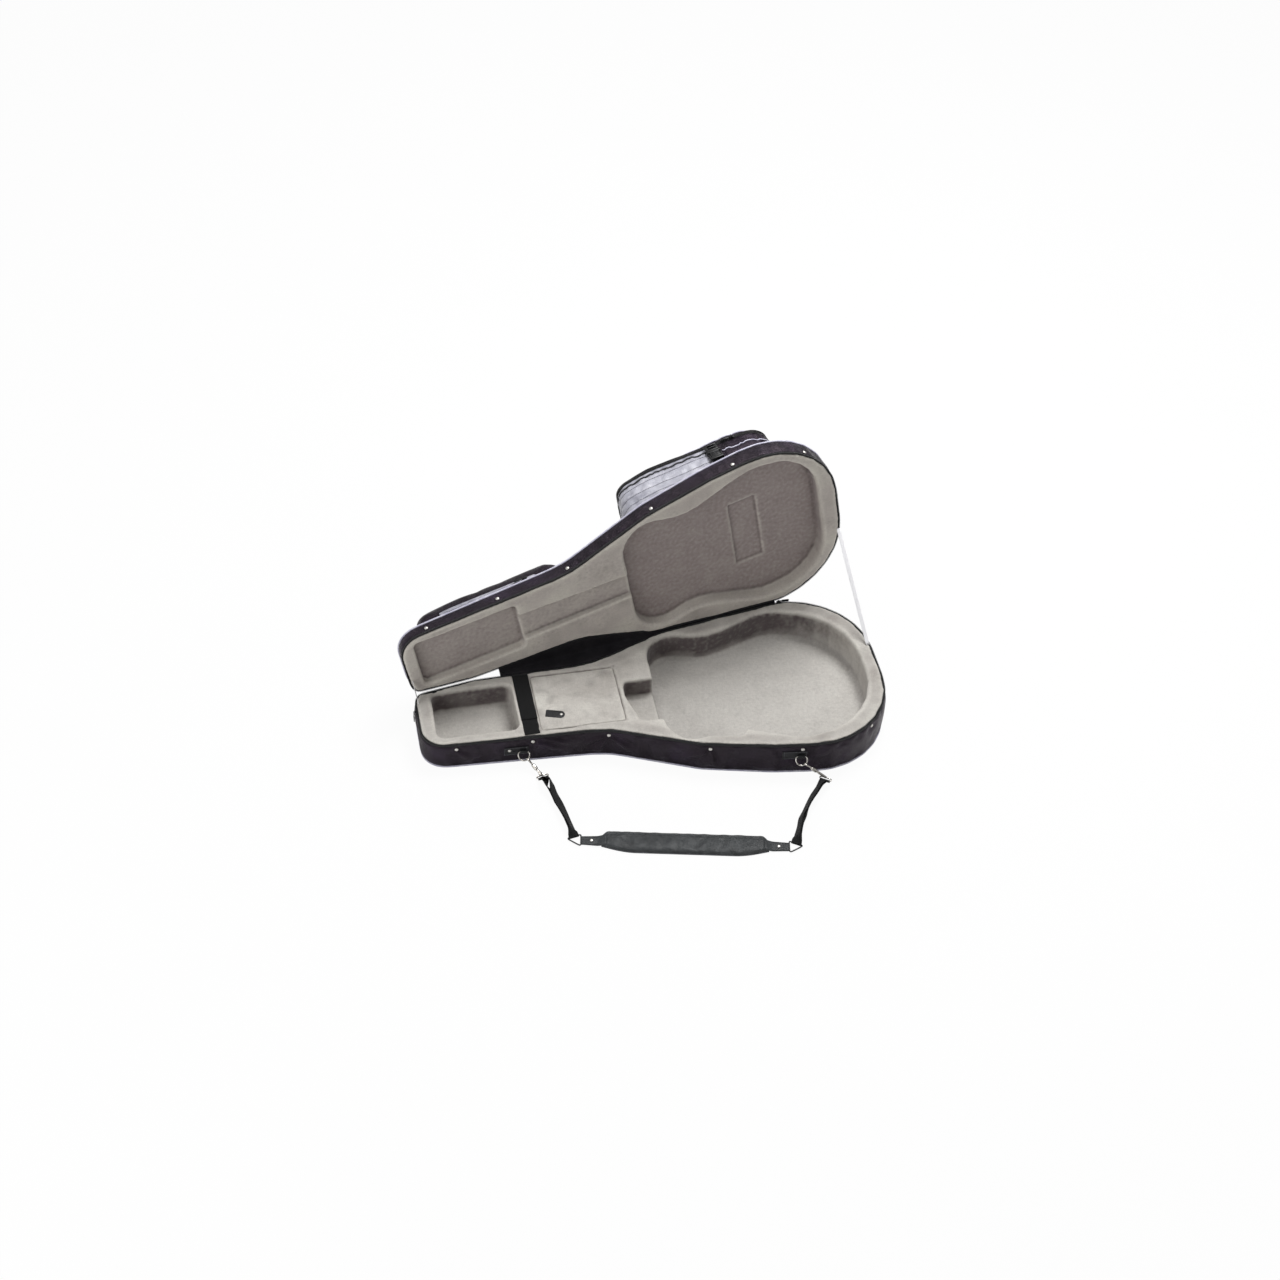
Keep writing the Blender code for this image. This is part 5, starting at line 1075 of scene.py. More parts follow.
def repeated(name, tree, lines, aims, material, body, slot, closed=False, **sizes):
    """Run the tree along lines of points, and keep the result as one plain mesh."""
    verts, edges, ways = [], [], []
    for line, aim in zip(lines, aims):
        first = len(verts)
        verts += [tuple(p) for p in line]
        ways += [tuple(a) for a in aim]
        edges += [(k, k + 1) for k in range(first, len(verts) - 1)]
        if closed:
            edges.append((len(verts) - 1, first))
    mesh = bpy.data.meshes.new(name)
    mesh.from_pydata(verts, edges, [])
    layer = mesh.attributes.new("aim", "FLOAT_VECTOR", "POINT")
    layer.data.foreach_set("vector", np.array(ways, float).ravel())
    thing = bpy.data.objects.new(name, mesh)
    scene.collection.objects.link(thing)
    modifier = thing.modifiers.new("repeat", "NODES")
    modifier.node_group = tree
    for item in tree.interface.items_tree:
        if item.in_out == "INPUT" and item.name in sizes:
            modifier[item.identifier] = sizes[item.name]
        if item.in_out == "INPUT" and item.name == "Material":
            modifier[item.identifier] = material
    applied(thing)
    return finish(thing, material, body, slot)


def tangents(line, closed=False):
    line = np.asarray(line, float)
    along = np.roll(line, -1, 0) - np.roll(line, 1, 0) if closed else np.gradient(line, axis=0)
    return along / np.linalg.norm(along, axis=1, keepdims=True)


def sewn(name, lines, body, thread=THREAD, slot="black_webbing", closed=False, spacing=0.0042,
         length=0.0030, radius=0.00042):
    """Rows of stitches along lines of points."""
    return repeated(name, ROW_TREE, lines, [tangents(line, closed) for line in lines], thread, body,
                    slot, closed, Spacing=spacing, Radius=radius, Length=length)


print("trees:", ROW_TREE.name, STUD_TREE.name)

# %% [markdown]
# ## Binding, zip and studs
# A folded grosgrain tape binds the raw edges at each rim and carries half of the coil zip. The
# tape is one band with a rounded section. The coil's teeth are two millimetres apart and a row
# of stitches holds the fold. Below it, small domed nickel studs fasten the lining at six
# places along the front of each half.

# %% Bind the rims
def bind_rim(prefix, side, place, body, tape_node):
    """side is -1 for the base, whose tape lies below the rim plane, and 1 for the lid."""
    section_points = [(-0.0048, 0.0036), (-0.0030, 0.0032), (-0.0008, 0.0028), (0.0008, 0.0026),
                      (0.0016, 0.0030), (0.0021, 0.0042), (0.0021, 0.0062), (0.0018, 0.0082),
                      (0.0009, 0.0092), (-0.0008, 0.0094), (-0.0048, 0.0092)]
    rows = [placed(ring3(outline, out, side * depth), place) for out, depth in section_points]
    tape = grid_mesh(prefix + "_binding", rows, wrap=True, wrap_rows=True)
    closed_outwards(tape)
    finish(tape, GROSGRAIN, body, "black_binding", tape_node)
    line = placed(ring3(outline, 0.0014, side * 0.0020), place)
    normals = placed(np.column_stack([outwards(outline), np.zeros(len(outline))]), place.to_3x3().to_4x4())
    repeated(prefix + "_zip_coil", ROW_TREE, [line], [normals], COIL, body, "black_binding", True,
             Spacing=0.0021, Radius=0.00065, Length=0.0030)
    sewn(prefix + "_binding_stitches", [placed(ring3(outline, 0.00225, side * 0.0072), place)], body,
         slot="black_binding", closed=True)


bind_rim("base", -1, BASE, "case_base", "base_zip_tape")
bind_rim("lid", 1, LID, "lid", "lid_zip_tape")


def studs(name, places, height, place, body):
    """Domed studs on the front wall at x places, as one piece."""
    points, ways = [], []
    for x in places:
        at, out = on_wall(x)
        points.append(placed([at[0] + out[0] * 0.0016, at[1] + out[1] * 0.0016, height], place))
        ways.append(np.array(place.to_3x3() @ Vector((out[0], out[1], 0))))
    return repeated(name, STUD_TREE, [points], [ways], SATIN_NICKEL, body, "nickel_plated_steel",
                    Radius=0.0046, Length=0.0023)


studs("base_studs", STUD_PLACES, -0.0185, BASE, "case_base")
studs("lid_studs", STUD_PLACES, 0.0165, LID, "lid")

# %% [markdown]
# ## The hinge cloth
# One strip of black cloth joins base and lid along the hinge line, and fills the wedge where
# the two outlines curve away from it. It is one sheet, drawn as the lid stands open: its near
# edge lies on the base's binding, its far edge on the lid's, and it goes with neither body.

# %% Hang the hinge cloth
def hinge_cloth(x0, x1):
    """A strip from the base's binding over the hinge line to the lid's binding."""
    lanes = []
    for x in np.linspace(x0, x1, 110):
        at, out = on_wall(x, 1)
        edge = Vector((x, at[1] + 0.0026 * out[1]))
        middle = hinge_y(x)
        reach = max(middle - edge.y, 0.0004)
        sag = 0.05 * reach * math.sin(math.pi * min(1.0, (x - x0) / (x1 - x0)))
        near = [(edge.y, -0.0085), (edge.y, -0.0045), (edge.y + 0.0003, -0.0012)]
        near += [(edge.y + reach * t, -0.0004 - sag * math.sin(math.pi * t)) for t in (0.15, 0.4, 0.65, 0.88)]
        lane = [BASE @ Vector((x, y, z)) for y, z in near]
        lane.append(BASE @ Vector((x, middle, 0.0)))
        lane += [LID @ Vector((x, y, -z)) for y, z in reversed(near)]
        lanes.append([tuple(point) for point in lane])
    thing = grid_mesh("hinge_cloth", lanes)
    ruffle(thing, 0.03, 0.0007, 2.0)
    thicken(thing, 0.0009, 0.0)
    finish(thing, LINING, None, "black_binding", "base_hinge_flap", "lid_hinge_flap")
    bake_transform(thing)


hinge_cloth(-0.336, 0.352)

# %% [markdown]
# ## The pockets
# Three pockets are sewn on the lid's outer face. The large one has a silver side that is
# quilted with rows of stitches, a zip round its top and a black face; a flat one lies on that
# face; a long one lies over the neck. Each is a bag of cloth over air or papers, so it is a row
# of rings that rise from a seam and close in a crown, thickened to the cloth.

# %% Make the pockets
def slanted_section(node, height):
    """The outline where a plane at a height over the lid's rim, tipped like its face, cuts a solid."""
    slope = Matrix.Rotation(-math.atan(LID_SLOPE), 4, "Y")
    return section(node, height, LID @ slope)[0]


def pocket(name, node, loop, level, rise, centre, body="lid", crown=0.003, cloth=0.0022, seed=1.0,
           growth=0.02, lump=0.0016):
    """A cap of cloth: rise rows are (inset, share of the height). Returns the row below its crown."""
    profile = [(0.0, -inset, lambda x, s=share: level(x, s)) for inset, share in rise]
    last = rise[-1][0]
    for k in range(1, 19):
        t = k / 18
        profile.append((t, -last, lambda x, t=t: level(x, 1.0) + crown * math.sin(t * math.pi / 2)))
    thing = disc(name, loop, profile, LID, centre)
    wide = len(loop)
    ruffle(thing, 0.05, lump, seed)
    ruffle(thing, 0.018, lump * 0.3, seed + 3)
    settle(thing, range(wide), growth, 0.0035, pressure=0.6)
    points = coordinates(thing)
    inner = np.clip((np.arange(len(points)) / wide - len(rise) - 2) / 5, 0, 1)[:, None] * 0.6
    for _ in range(40):
        points += inner * (neighbours_middle(thing, points) - points)
    move_to(thing, points)
    edge = coordinates(thing) + normals_of(thing) * 0.0009
    thicken(thing, cloth)
    finish(thing, NYLON, body, "black_nylon", node)
    return edge[wide * (len(rise) - 2):wide * (len(rise) - 1)]


def polar_like(loop, centre, model):
    """Points of a loop in the directions of another loop's points, seen from a centre."""
    own = loop - centre
    angle = np.unwrap(np.arctan2(own[:, 1], own[:, 0]))
    order = np.argsort(np.mod(angle, math.tau))
    wanted = np.mod(np.arctan2(model[:, 1] - centre[1], model[:, 0] - centre[0]), math.tau)
    far = np.interp(wanted, np.mod(angle, math.tau)[order], np.linalg.norm(own, axis=1)[order],
                    period=math.tau)
    return centre + np.stack([np.cos(wanted), np.sin(wanted)], 1) * far[:, None]


POCKET_DEPTH = 0.108
foot = eased(slanted_section("main_pocket_gusset", LID_DEPTH + 0.004), 0.006, 0.006)
middle = foot.mean(0)
head = polar_like(eased(slanted_section("main_pocket_gusset", LID_DEPTH + 0.092), 0.006, 0.006), middle, foot)


def gusset_ring(t, out):
    """The pocket's side at a share of its height, moved outwards."""
    flat = foot + (head - foot) * t
    flat = flat + outwards(flat) * (out if np.isscalar(out) else out[:, None])
    return np.column_stack([flat, lid_top(flat[:, 0]) + 0.0004 + t * (POCKET_DEPTH - 0.0110)])


def quilted_side():
    """The silver side: the cloth swells a little between its rows of stitches."""
    rows = []
    for t in np.linspace(0, 1, 25):
        swell = 0.0016 * abs(math.sin(math.pi * t * 4)) ** 0.7
        rows.append(placed(gusset_ring(t, swell), LID))
    thing = grid_mesh("pocket_side_cloth", rows, wrap=True)
    wide = len(foot)
    up_share = np.repeat(np.linspace(0, 1, 25), wide)
    fade = np.sin(np.pi * up_share) ** 0.5 * (1 - 0.85 * np.exp(-((up_share - 0.875) / 0.07) ** 2))
    ruffle(thing, 0.045, 0.0045, 3.0, fade)
    ruffle(thing, 0.020, 0.0009, 8.0, fade)
    held = [k for t in (0, 6, 12, 18, 24) for k in range(wide * t, wide * (t + 1))]
    settle(thing, held, 0.05, 0.0035)
    settled = (coordinates(thing) + normals_of(thing) * 0.0007).reshape(25, wide, 3)
    upright = np.array(LID.to_3x3() @ Vector((0, 0, 1)))
    thicken(thing, 0.0018)
    finish(thing, SILVER, "lid", "silver_nylon", "main_pocket_gusset")
    thing.data.materials.append(NYLON)
    for face in thing.data.polygons:
        if min(foot[k % wide][0] for k in face.vertices) > 0.297:
            face.material_index = 1

    def run(row, side):
        """A row of the cloth on one side, from the neck end to where the black end begins."""
        ring = placed(settled[row], LID.inverted())
        part = ring[(ring[:, 0] < 0.300) & (ring[:, 1] * side > 0)]
        return placed(part[np.argsort(part[:, 0])], LID)

    sewn("pocket_side_stitches", [run(row, side) for row in (6, 12, 18) for side in (-1, 1)], "lid",
         THREAD, "silver_nylon", radius=0.0005)
    front = run(21, -1)
    repeated("pocket_side_coil", ROW_TREE, [front], [np.tile(upright, (len(front), 1))], COIL, "lid",
             "black_binding", Spacing=0.0021, Radius=0.0009, Length=0.0046)
    return settled[17]


side_row = quilted_side()


def pocket_zip(name, low, high, node):
    """The zip round the pocket's top: a tape and a coil in its middle."""
    out_low, out_high = gusset_ring(1.0, 0.0), gusset_ring(1.0, 0.0)
    rows = []
    for out, rise in ((-0.0020, low), (0.0012, low), (0.0015, low + 0.0015), (0.0015, high - 0.0015),
                      (0.0012, high), (-0.0020, high)):
        ring = gusset_ring(1.0, out)
        ring[:, 2] = lid_top(ring[:, 0]) + rise
        rows.append(placed(ring, LID))
    thing = grid_mesh(name, rows, wrap=True, wrap_rows=True)
    closed_outwards(thing)
    finish(thing, GROSGRAIN, "lid", "black_binding", node)
    ring = gusset_ring(1.0, 0.0018)
    ring[:, 2] = lid_top(ring[:, 0]) + (low + high) / 2
    upright = placed(np.tile([0.0, 0.0, 1.0], (len(ring), 1)), LID.to_3x3().to_4x4())
    repeated(name + "_coil", ROW_TREE, [placed(ring, LID)], [upright], COIL, "lid", "black_binding",
             True, Spacing=0.0021, Radius=0.0006, Length=0.0042)


pocket_zip("pocket_zip_tape", 0.0972, 0.1052, "main_pocket_zip")
top_rise = [(-0.0016, 0.0), (-0.0019, 0.45), (-0.0012, 0.85), (0.002, 1.0)]
pocket("pocket_face_nylon", "main_pocket_face", head,
       lambda x, s: lid_top(x) + 0.1056 + 0.0024 * s, top_rise, middle, crown=0.0002, cloth=0.0015,
       seed=4.0, growth=0.0)


def flat_height(x):
    """How far the flat pocket stands over the face: it swells from the neck end."""
    t = np.clip((x - 0.145) / 0.1425, 0, 1)
    return 0.006 + 0.024 * t * t * (3 - 2 * t)


flat_loop = eased(slanted_section("flat_pocket", LID_DEPTH + 0.1100), 0.006, 0.006)
flat_row = pocket("flat_pocket_nylon", "flat_pocket", flat_loop,
       lambda x, s: lid_top(x) + POCKET_DEPTH + 0.0004 + flat_height(x) * s,
       [(0.0, 0.0), (0.0, 0.2), (0.0, 0.4), (0.0006, 0.58), (0.0025, 0.76), (0.006, 0.90), (0.012, 1.0)],
       flat_loop.mean(0), crown=0.0035, seed=6.0)
neck_loop = eased(slanted_section("neck_pocket", LID_DEPTH + 0.0060), 0.006, 0.006)


def neck_level(x, s):
    """The long pocket's height: it runs out towards the body end."""
    run_out = 0.35 + 0.65 * np.clip((-0.100 - x) / 0.060, 0, 1)
    return lid_top(x) + 0.0004 + 0.045 * s * run_out


pocket("neck_pocket_nylon", "neck_pocket", neck_loop, neck_level,
       [(0.0, 0.0), (0.0, 0.15), (0.0, 0.3), (0.0004, 0.46), (0.002, 0.64), (0.005, 0.80),
        (0.010, 0.92), (0.017, 1.0)], neck_loop.mean(0), crown=0.0030, seed=9.0, growth=0.008, lump=0.0006)


def edge_cord(name, row, beyond):
    """White piping along a row of a pocket's cloth, where x lies beyond a value."""
    kept = placed(row, LID.inverted())[:, 0] > beyond
    start = int(np.argmax(kept & ~np.roll(kept, 1)))
    part = np.roll(row, -start, axis=0)[:int(kept.sum())]
    finish(tube(name, part, 0.0016, 8), PIPING, "lid", "white_piping")


edge_cord("flat_pocket_piping", flat_row, 0.20)
edge_cord("pocket_end_piping", side_row, 0.318)

# %% [markdown]
# ## The neck pocket's zip
# A silver coil zip runs along the foot of the long pocket, on a grey tape that is sewn to it.

# %% Sew the neck pocket's zip
def straight_zip(x0, x1):
    xs = np.linspace(x0, x1, 60)
    front = neck_loop[neck_loop[:, 1] < 0]
    front = front[np.argsort(front[:, 0])]
    outs = -np.interp(xs, front[:, 0], front[:, 1])
    rows = []
    for push, rise in ((0.0002, 0.0068), (0.0013, 0.0070), (0.0017, 0.0080), (0.0017, 0.0140),
                       (0.0013, 0.0150), (0.0002, 0.0152)):
        rows.append([tuple(LID @ Vector((x, -out - push, lid_top(x) + rise))) for x, out in zip(xs, outs)])
    thing = grid_mesh("neck_zip_tape", rows, wrap_rows=True)
    bm = bmesh.new()
    bm.from_mesh(thing.data)
    bmesh.ops.holes_fill(bm, edges=[e for e in bm.edges if e.is_boundary])
    bm.to_mesh(thing.data)
    bm.free()
    closed_outwards(thing)
    finish(thing, SILVER, "lid", "silver_nylon", "neck_pocket_zip")
    line = [LID @ Vector((x, -out - 0.0019, lid_top(x) + 0.0110)) for x, out in zip(xs, outs)]
    upright = [LID.to_3x3() @ Vector((0, 0, 1))] * len(line)
    repeated("neck_zip_coil", ROW_TREE, [line], [upright], SILVER_COIL, "lid", "silver_nylon",
             Spacing=0.0021, Radius=0.0006, Length=0.0040)


print("neck pocket from", round(float(neck_loop[:, 0].min()), 3), "to", round(float(neck_loop[:, 0].max()), 3))
straight_zip(-0.425, -0.190)

# %% [markdown]
# ## Wire fittings
# D-rings, snap hooks, swivels and the strap's rings are round steel wire, bent and welded.
# Their solids have the right bends with few sides, so each is copied, its triangles are joined
# to quads and a subdivision surface rounds it. Subdivision pulls a wire in by a tenth, so the
# skin is pushed out again by that much.

# %% Polish the wire fittings
def body_of(node):
    return frame["nodes"][node].parent.name.split(":", 1)[1]


def copied(node, name, quads=True):
    bm = welded(node)
    if quads:
        bmesh.ops.join_triangles(bm, faces=bm.faces, angle_face_threshold=math.radians(40),
                                 angle_shape_threshold=math.radians(60))
    mesh = bpy.data.meshes.new(name)
    bm.to_mesh(mesh)
    bm.free()
    thing = bpy.data.objects.new(name, mesh)
    scene.collection.objects.link(thing)
    return thing


def polished(node, radius, material=NICKEL, slot="nickel_plated_steel"):
    thing = copied(node, node + "_wire")
    smoother(thing, 2)
    thing.data.update()
    move_to(thing, coordinates(thing) + normals_of(thing) * radius * 0.1)
    return finish(thing, material, body_of(node), slot, node)


for side in ("left", "right"):
    polished("dring_" + side, 0.0019)
    polished("snap_hook_" + side, 0.0022)
    polished("hook_gate_" + side, 0.0011)
    polished("swivel_" + side, 0.0018)
    polished("strap_ring_" + side, 0.0018, LACQUER)

# %% [markdown]
# ## Leatherette patches and tabs
# Patches hold the D-rings and the handle on the wall, and two tabs join pad and rings. Each is
# coated cloth with a pressed edge, sewn round and, on the tabs, riveted. A small bevel gives
# the pressed edge, and the stitches follow it.

# %% Cut the patches and tabs
def bevelled(node, width, material, slot, segments=2):
    thing = copied(node, node + "_skin", False)
    bm = bmesh.new()
    bm.from_mesh(thing.data)
    bmesh.ops.dissolve_limit(bm, angle_limit=math.radians(4), verts=bm.verts, edges=bm.edges)
    bm.to_mesh(thing.data)
    bm.free()
    edge = thing.modifiers.new("pressed_edge", "BEVEL")
    edge.width = width
    edge.segments = segments
    edge.limit_method = "ANGLE"
    edge.angle_limit = math.radians(30)
    applied(thing)
    box_map(thing)
    return finish(thing, material, body_of(node), slot, node, sharp=50)


for node in ("dring_patch_left", "dring_patch_right", "handle_mount_head", "handle_mount_body"):
    bevelled(node, 0.0005, PATCH_SKIN, "black_leatherette")
bevelled("accessory_pull_tab", 0.0003, PATCH_SKIN, "black_leatherette")


def patch_stitches(name, x, drop, shift, length, height, side=-1):
    """A row of stitches round a patch on the wall."""
    at, out = on_wall(x, side)
    along = np.array([-out[1], out[0]]) * (1 if side < 0 else -1)
    lines = []
    for sx, sz in (((-1, 1), (1, 1)), ((1, 1), (1, -1)), ((1, -1), (-1, -1)), ((-1, -1), (-1, 1))):
        ends = []
        for a, b in (sx, sz):
            flat = at + along * (shift + a * (length / 2 - 0.0025)) + out * 0.0024
            ends.append(np.array([flat[0], flat[1], -drop + b * (height / 2 - 0.0025)]))
        lines.append(placed(np.linspace(ends[0], ends[1], 6), BASE))
    sewn(name, lines, "case_base", GREY_THREAD, "black_leatherette", spacing=0.0032, length=0.0022,
         radius=0.0003)


patch_stitches("left_patch_stitches", -0.314, 0.043, -0.016, 0.056, 0.024)
patch_stitches("right_patch_stitches", 0.304, 0.036, -0.016, 0.056, 0.024)

# %% [markdown]
# ## Straps
# Webbing is a flat band with soft edges. One function draws any strap along a path with a
# direction across it. The shoulder strap's lengths are doubled round a bar at each end, and
# between the bars they turn nearly on edge, as webbing does when the pad drags it sideways.

# %% Weave the straps
FLAT = [(-0.5, 0), (-0.492, 0.32), (-0.47, 0.5), (-0.25, 0.5), (0, 0.5), (0.25, 0.5), (0.47, 0.5),
        (0.492, 0.32), (0.5, 0), (0.492, -0.32), (0.47, -0.5), (0.25, -0.5), (0, -0.5), (-0.25, -0.5),
        (-0.47, -0.5), (-0.492, -0.32)]


def strap(name, path, across, width, thickness, closed=False):
    """A flat band: its ribs run across it, because the map's first axis goes along."""
    path, across = np.asarray(path, float), np.asarray(across, float)
    along = tangents(path, closed)
    across = across - along * np.sum(across * along, axis=1, keepdims=True)
    across /= np.linalg.norm(across, axis=1, keepdims=True)
    up_way = np.cross(along, across)
    rows = [path + across * width * a + up_way * thickness * b for a, b in FLAT]
    thing = grid_mesh(name, rows, wrap=closed, wrap_rows=True)
    if not closed:
        bm = bmesh.new()
        bm.from_mesh(thing.data)
        bmesh.ops.holes_fill(bm, edges=[e for e in bm.edges if e.is_boundary])
        bm.to_mesh(thing.data)
        bm.free()
    closed_outwards(thing)
    return thing


def ends_of(node, inset):
    """The two ends of a long solid, an inset short of its tips."""
    points = placed([tuple(v.co) for v in frame["nodes"][node].data.vertices], Matrix.Identity(4))
    middle_point = points.mean(0)
    way = np.linalg.svd(points - middle_point, full_matrices=False)[2][0]
    reach = (points - middle_point) @ way
    tips = []
    for sign in (-1, 1):
        far = (reach * sign).max()
        near = points[reach * sign > far - 0.0008]
        tips.append((near.min(0) + near.max(0)) / 2 - way * sign * inset)
    return tips


def doubled_webbing(node, name, twist, turns, opened, open_at, bow):
    """Two plies round the bars at both ends, turned on edge between them, open where they part."""
    first, last = ends_of(node, 0.0035)
    if first[1] < last[1]:
        first, last = last, first
    run = last - first
    length = np.linalg.norm(run)
    run /= length
    flat = np.cross(run, (0, 0, 1.0))
    flat /= np.linalg.norm(flat)
    lift = np.cross(flat, run)
    path, across = [], []
    gap = 0.0029
    steps = 44

    def ply(t, side):
        turn_by = twist * float(np.interp(t, (0, 0.05, 0.13, 0.26, 0.45, 0.75, 0.92, 1), turns))
        wide = flat * math.cos(turn_by) + lift * math.sin(turn_by)
        over = lift * math.cos(turn_by) - flat * math.sin(turn_by)
        swell = gap * (1 - 0.6 * math.sin(math.pi * t) + opened * math.exp(-((t - open_at) / 0.09) ** 2))
        rise = max(0.0, 0.0120 * abs(math.sin(turn_by)) + swell * math.cos(turn_by) - 0.0034)
        return (first + run * length * t + over * swell * side + lift * rise
                - flat * bow * math.sin(math.pi * t)), wide

    for k in range(steps + 1):
        point, wide = ply(k / steps, 1)
        path.append(point)
        across.append(wide)
    for k in range(1, 8):
        a = math.pi * k / 8
        path.append(last + run * gap * math.sin(a) + lift * gap * math.cos(a))
        across.append(flat)
    for k in range(steps, -1, -1):
        point, wide = ply(k / steps, -1)
        path.append(point)
        across.append(wide)
    for k in range(1, 8):
        a = math.pi * k / 8
        path.append(first - run * gap * math.sin(a) - lift * gap * math.cos(a))
        across.append(flat)
    thing = strap(name, path, across, 0.0235, 0.0014, closed=True)
    return finish(thing, WEBBING, "shoulder_strap", "black_webbing", node)


doubled_webbing("strap_webbing_left", "webbing_left", 1.0, (0, 0.7, 1.15, 0.80, 0.55, 0.90, 0.95, 0), 1.7, 0.14,
                0.004)
doubled_webbing("strap_webbing_right", "webbing_right", -1.0, (0, 0.7, 1.0, 0.90, 1.05, 1.15, 1.0, 0), 0.9, 0.66,
                -0.011)

# %% [markdown]
# ## The shoulder pad
# The pad is two leatherette faces sewn round a strip of foam. The seam is a thin flat edge, and
# the foam swells between its rows of stitches. Its skin is drawn with that flat edge, and the
# cloth solver blows it up a little with air pressure, which leaves the small wrinkles along
# the seam that a sewn pad has.

# %% Stuff the shoulder pad
PAD_MIDDLE = Vector((-0.002, -0.408, 0.0004))
PAD_TURN = math.radians(-11.3)
PAD_LENGTH, PAD_WIDTH, PAD_THICKNESS = 0.372, 0.062, 0.011
PAD = Matrix.Translation(PAD_MIDDLE) @ Matrix.Rotation(PAD_TURN, 4, "Z")


def pad_half_width(s, side):
    """From the pad's middle line to its edge: the back edge (1) fills out soon, the front one (-1) late."""
    share = np.clip((1 - np.abs(s)) / np.where(np.asarray(side) > 0, 0.09, 0.42), 0, 1)
    return 0.0150 + (PAD_WIDTH / 2 - 0.0150) * np.sin(share * math.pi / 2)


def shoulder_pad():
    stations = np.sin(np.linspace(-math.pi / 2, math.pi / 2, 91))
    section_points = [(-1.0, 0.0011)] + [(a, None) for a in
                      (-0.97, -0.93, -0.90, -0.86, -0.80, -0.68, -0.45, -0.2, 0, 0.2, 0.40, 0.48, 0.52, 0.56,
                       0.60, 0.68, 0.76, 0.84, 0.90, 0.95, 0.98)] + [(1.0, 0.0011)]
    below = [(a, 0.0) for a in (0.95, 0.7, 0.35, 0, -0.35, -0.7, -0.95)]
    rows = []
    for across, height in section_points + below:
        row = []
        for s in stations:
            wide = float(pad_half_width(s, across))
            full = min(1.0, (1 - abs(s)) / 0.07) ** 0.5
            if height is None:
                inside = max(0.0, (0.93 - abs(across)) / 0.93)
                z = 0.0024 + (PAD_THICKNESS - 0.0030) * full * (1 - (1 - inside) ** 7) ** 0.6
                z -= 0.0022 * math.exp(-((across - 0.54) / 0.035) ** 2) * full
            else:
                z = height
            row.append((s * PAD_LENGTH / 2, across * wide, z))
        rows.append(row)
    thing = grid_mesh("shoulder_pad_leatherette", placed(rows, PAD), wrap_rows=True)
    bm = bmesh.new()
    bm.from_mesh(thing.data)
    bmesh.ops.holes_fill(bm, edges=[e for e in bm.edges if e.is_boundary])
    bm.to_mesh(thing.data)
    bm.free()
    closed_outwards(thing)
    ruffle(thing, 0.022, 0.0007, 3.0, (coordinates(thing)[:, 2] > 0.003).astype(float))
    local = placed(coordinates(thing), PAD.inverted())
    edge = pad_half_width(local[:, 0] / (PAD_LENGTH / 2), local[:, 1])
    seam = (np.abs(local[:, 1]) > 0.88 * edge) | (np.abs(local[:, 1] - 0.54 * edge) < 0.03 * edge)
    settle(thing, np.where(seam | (local[:, 2] < 0.0008))[0], 0.012, 0.0010, pressure=1.0)
    smoother(thing)
    finish(thing, PAD_SKIN, "shoulder_strap", "black_leatherette", "shoulder_pad")
    lines = []
    for side in (-1, 1):
        s = np.linspace(-0.975, 0.975, 80)
        edge = pad_half_width(s, side)
        ring = np.stack([s * PAD_LENGTH / 2, side * 0.955 * edge, np.full(80, 0.0026)], 1)
        lines.append(placed(ring, PAD))
    sewn("shoulder_pad_stitches", lines, "shoulder_strap", GREY_THREAD, "black_leatherette",
         spacing=0.0036, length=0.0026, radius=0.00032)


shoulder_pad()


def pad_tab(side, name, node):
    """A tab of the pad's own skin: from the ring up over the pad's end, wider as it goes."""
    share = np.linspace(0, 1, 15)
    reach = PAD_LENGTH / 2 + 0.0465 - 0.0585 * share
    height = 0.0029 + 0.0050 * np.clip((share - 0.62) / 0.30, 0, 1) ** 1.5
    path = placed(np.stack([side * reach, 0 * share, height], 1), PAD)
    across = np.tile(np.array(PAD.to_3x3() @ Vector((0, 1, 0))), (len(share), 1))
    width = 0.0235 + 0.0075 * share ** 1.3 - 0.0060 * np.clip((share - 0.86) / 0.14, 0, 1) ** 2
    thing = strap(name, path, across, width[:, None], 0.0034)
    finish(thing, PAD_SKIN, "shoulder_strap", "black_leatherette", node)


pad_tab(-1, "pad_tab_left_skin", "pad_tab_left")
pad_tab(1, "pad_tab_right_skin", "pad_tab_right")

# %% [markdown]
# ## Rivets
# Hollow rivets hold the tabs on the pad and the pull tab on its flap. They are the studs' dome,
# run flatter.

# %% Set the rivets
def rivets(name, points, way, body, radius=0.0038, rise=0.0014):
    repeated(name, STUD_TREE, [points], [[tuple(way)] * len(points)], SATIN_NICKEL, body,
             "nickel_plated_steel", Radius=radius, Length=rise)


tab_points = [PAD @ Vector((side * (PAD_LENGTH / 2 + 0.022), 0, 0.0046)) for side in (-1, 1)]
rivets("pad_tab_rivets", [tuple(p) for p in tab_points], (0, 0, 1), "shoulder_strap")
low, high = (Vector(corner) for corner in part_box("accessory_pull_tab"))
turn_tab = math.radians(-16)
spot = BASE @ Vector((-0.210 - 0.008 * math.cos(turn_tab), -0.047 - 0.008 * math.sin(turn_tab), -0.0010))
at, out = on_wall(-0.346)
spot_on_patch = BASE @ Vector((*(at + out * 0.0026), -0.0400))
rivets("left_patch_rivet", [tuple(spot_on_patch)], BASE.to_3x3() @ Vector((*out, 0)), "case_base", 0.0040, 0.0016)
rivets("pull_tab_rivet", [tuple(spot)], BASE.to_3x3() @ Vector((0, 0, 1)), "pull_tab", 0.0034, 0.0012)

# %% [markdown]
# ## The neck strap
# Two lengths of hook-and-loop tape cross over the guitar's neck and hold each other. Hook tape
# and loop tape are both a thick, fuzzy band with a plain woven edge.

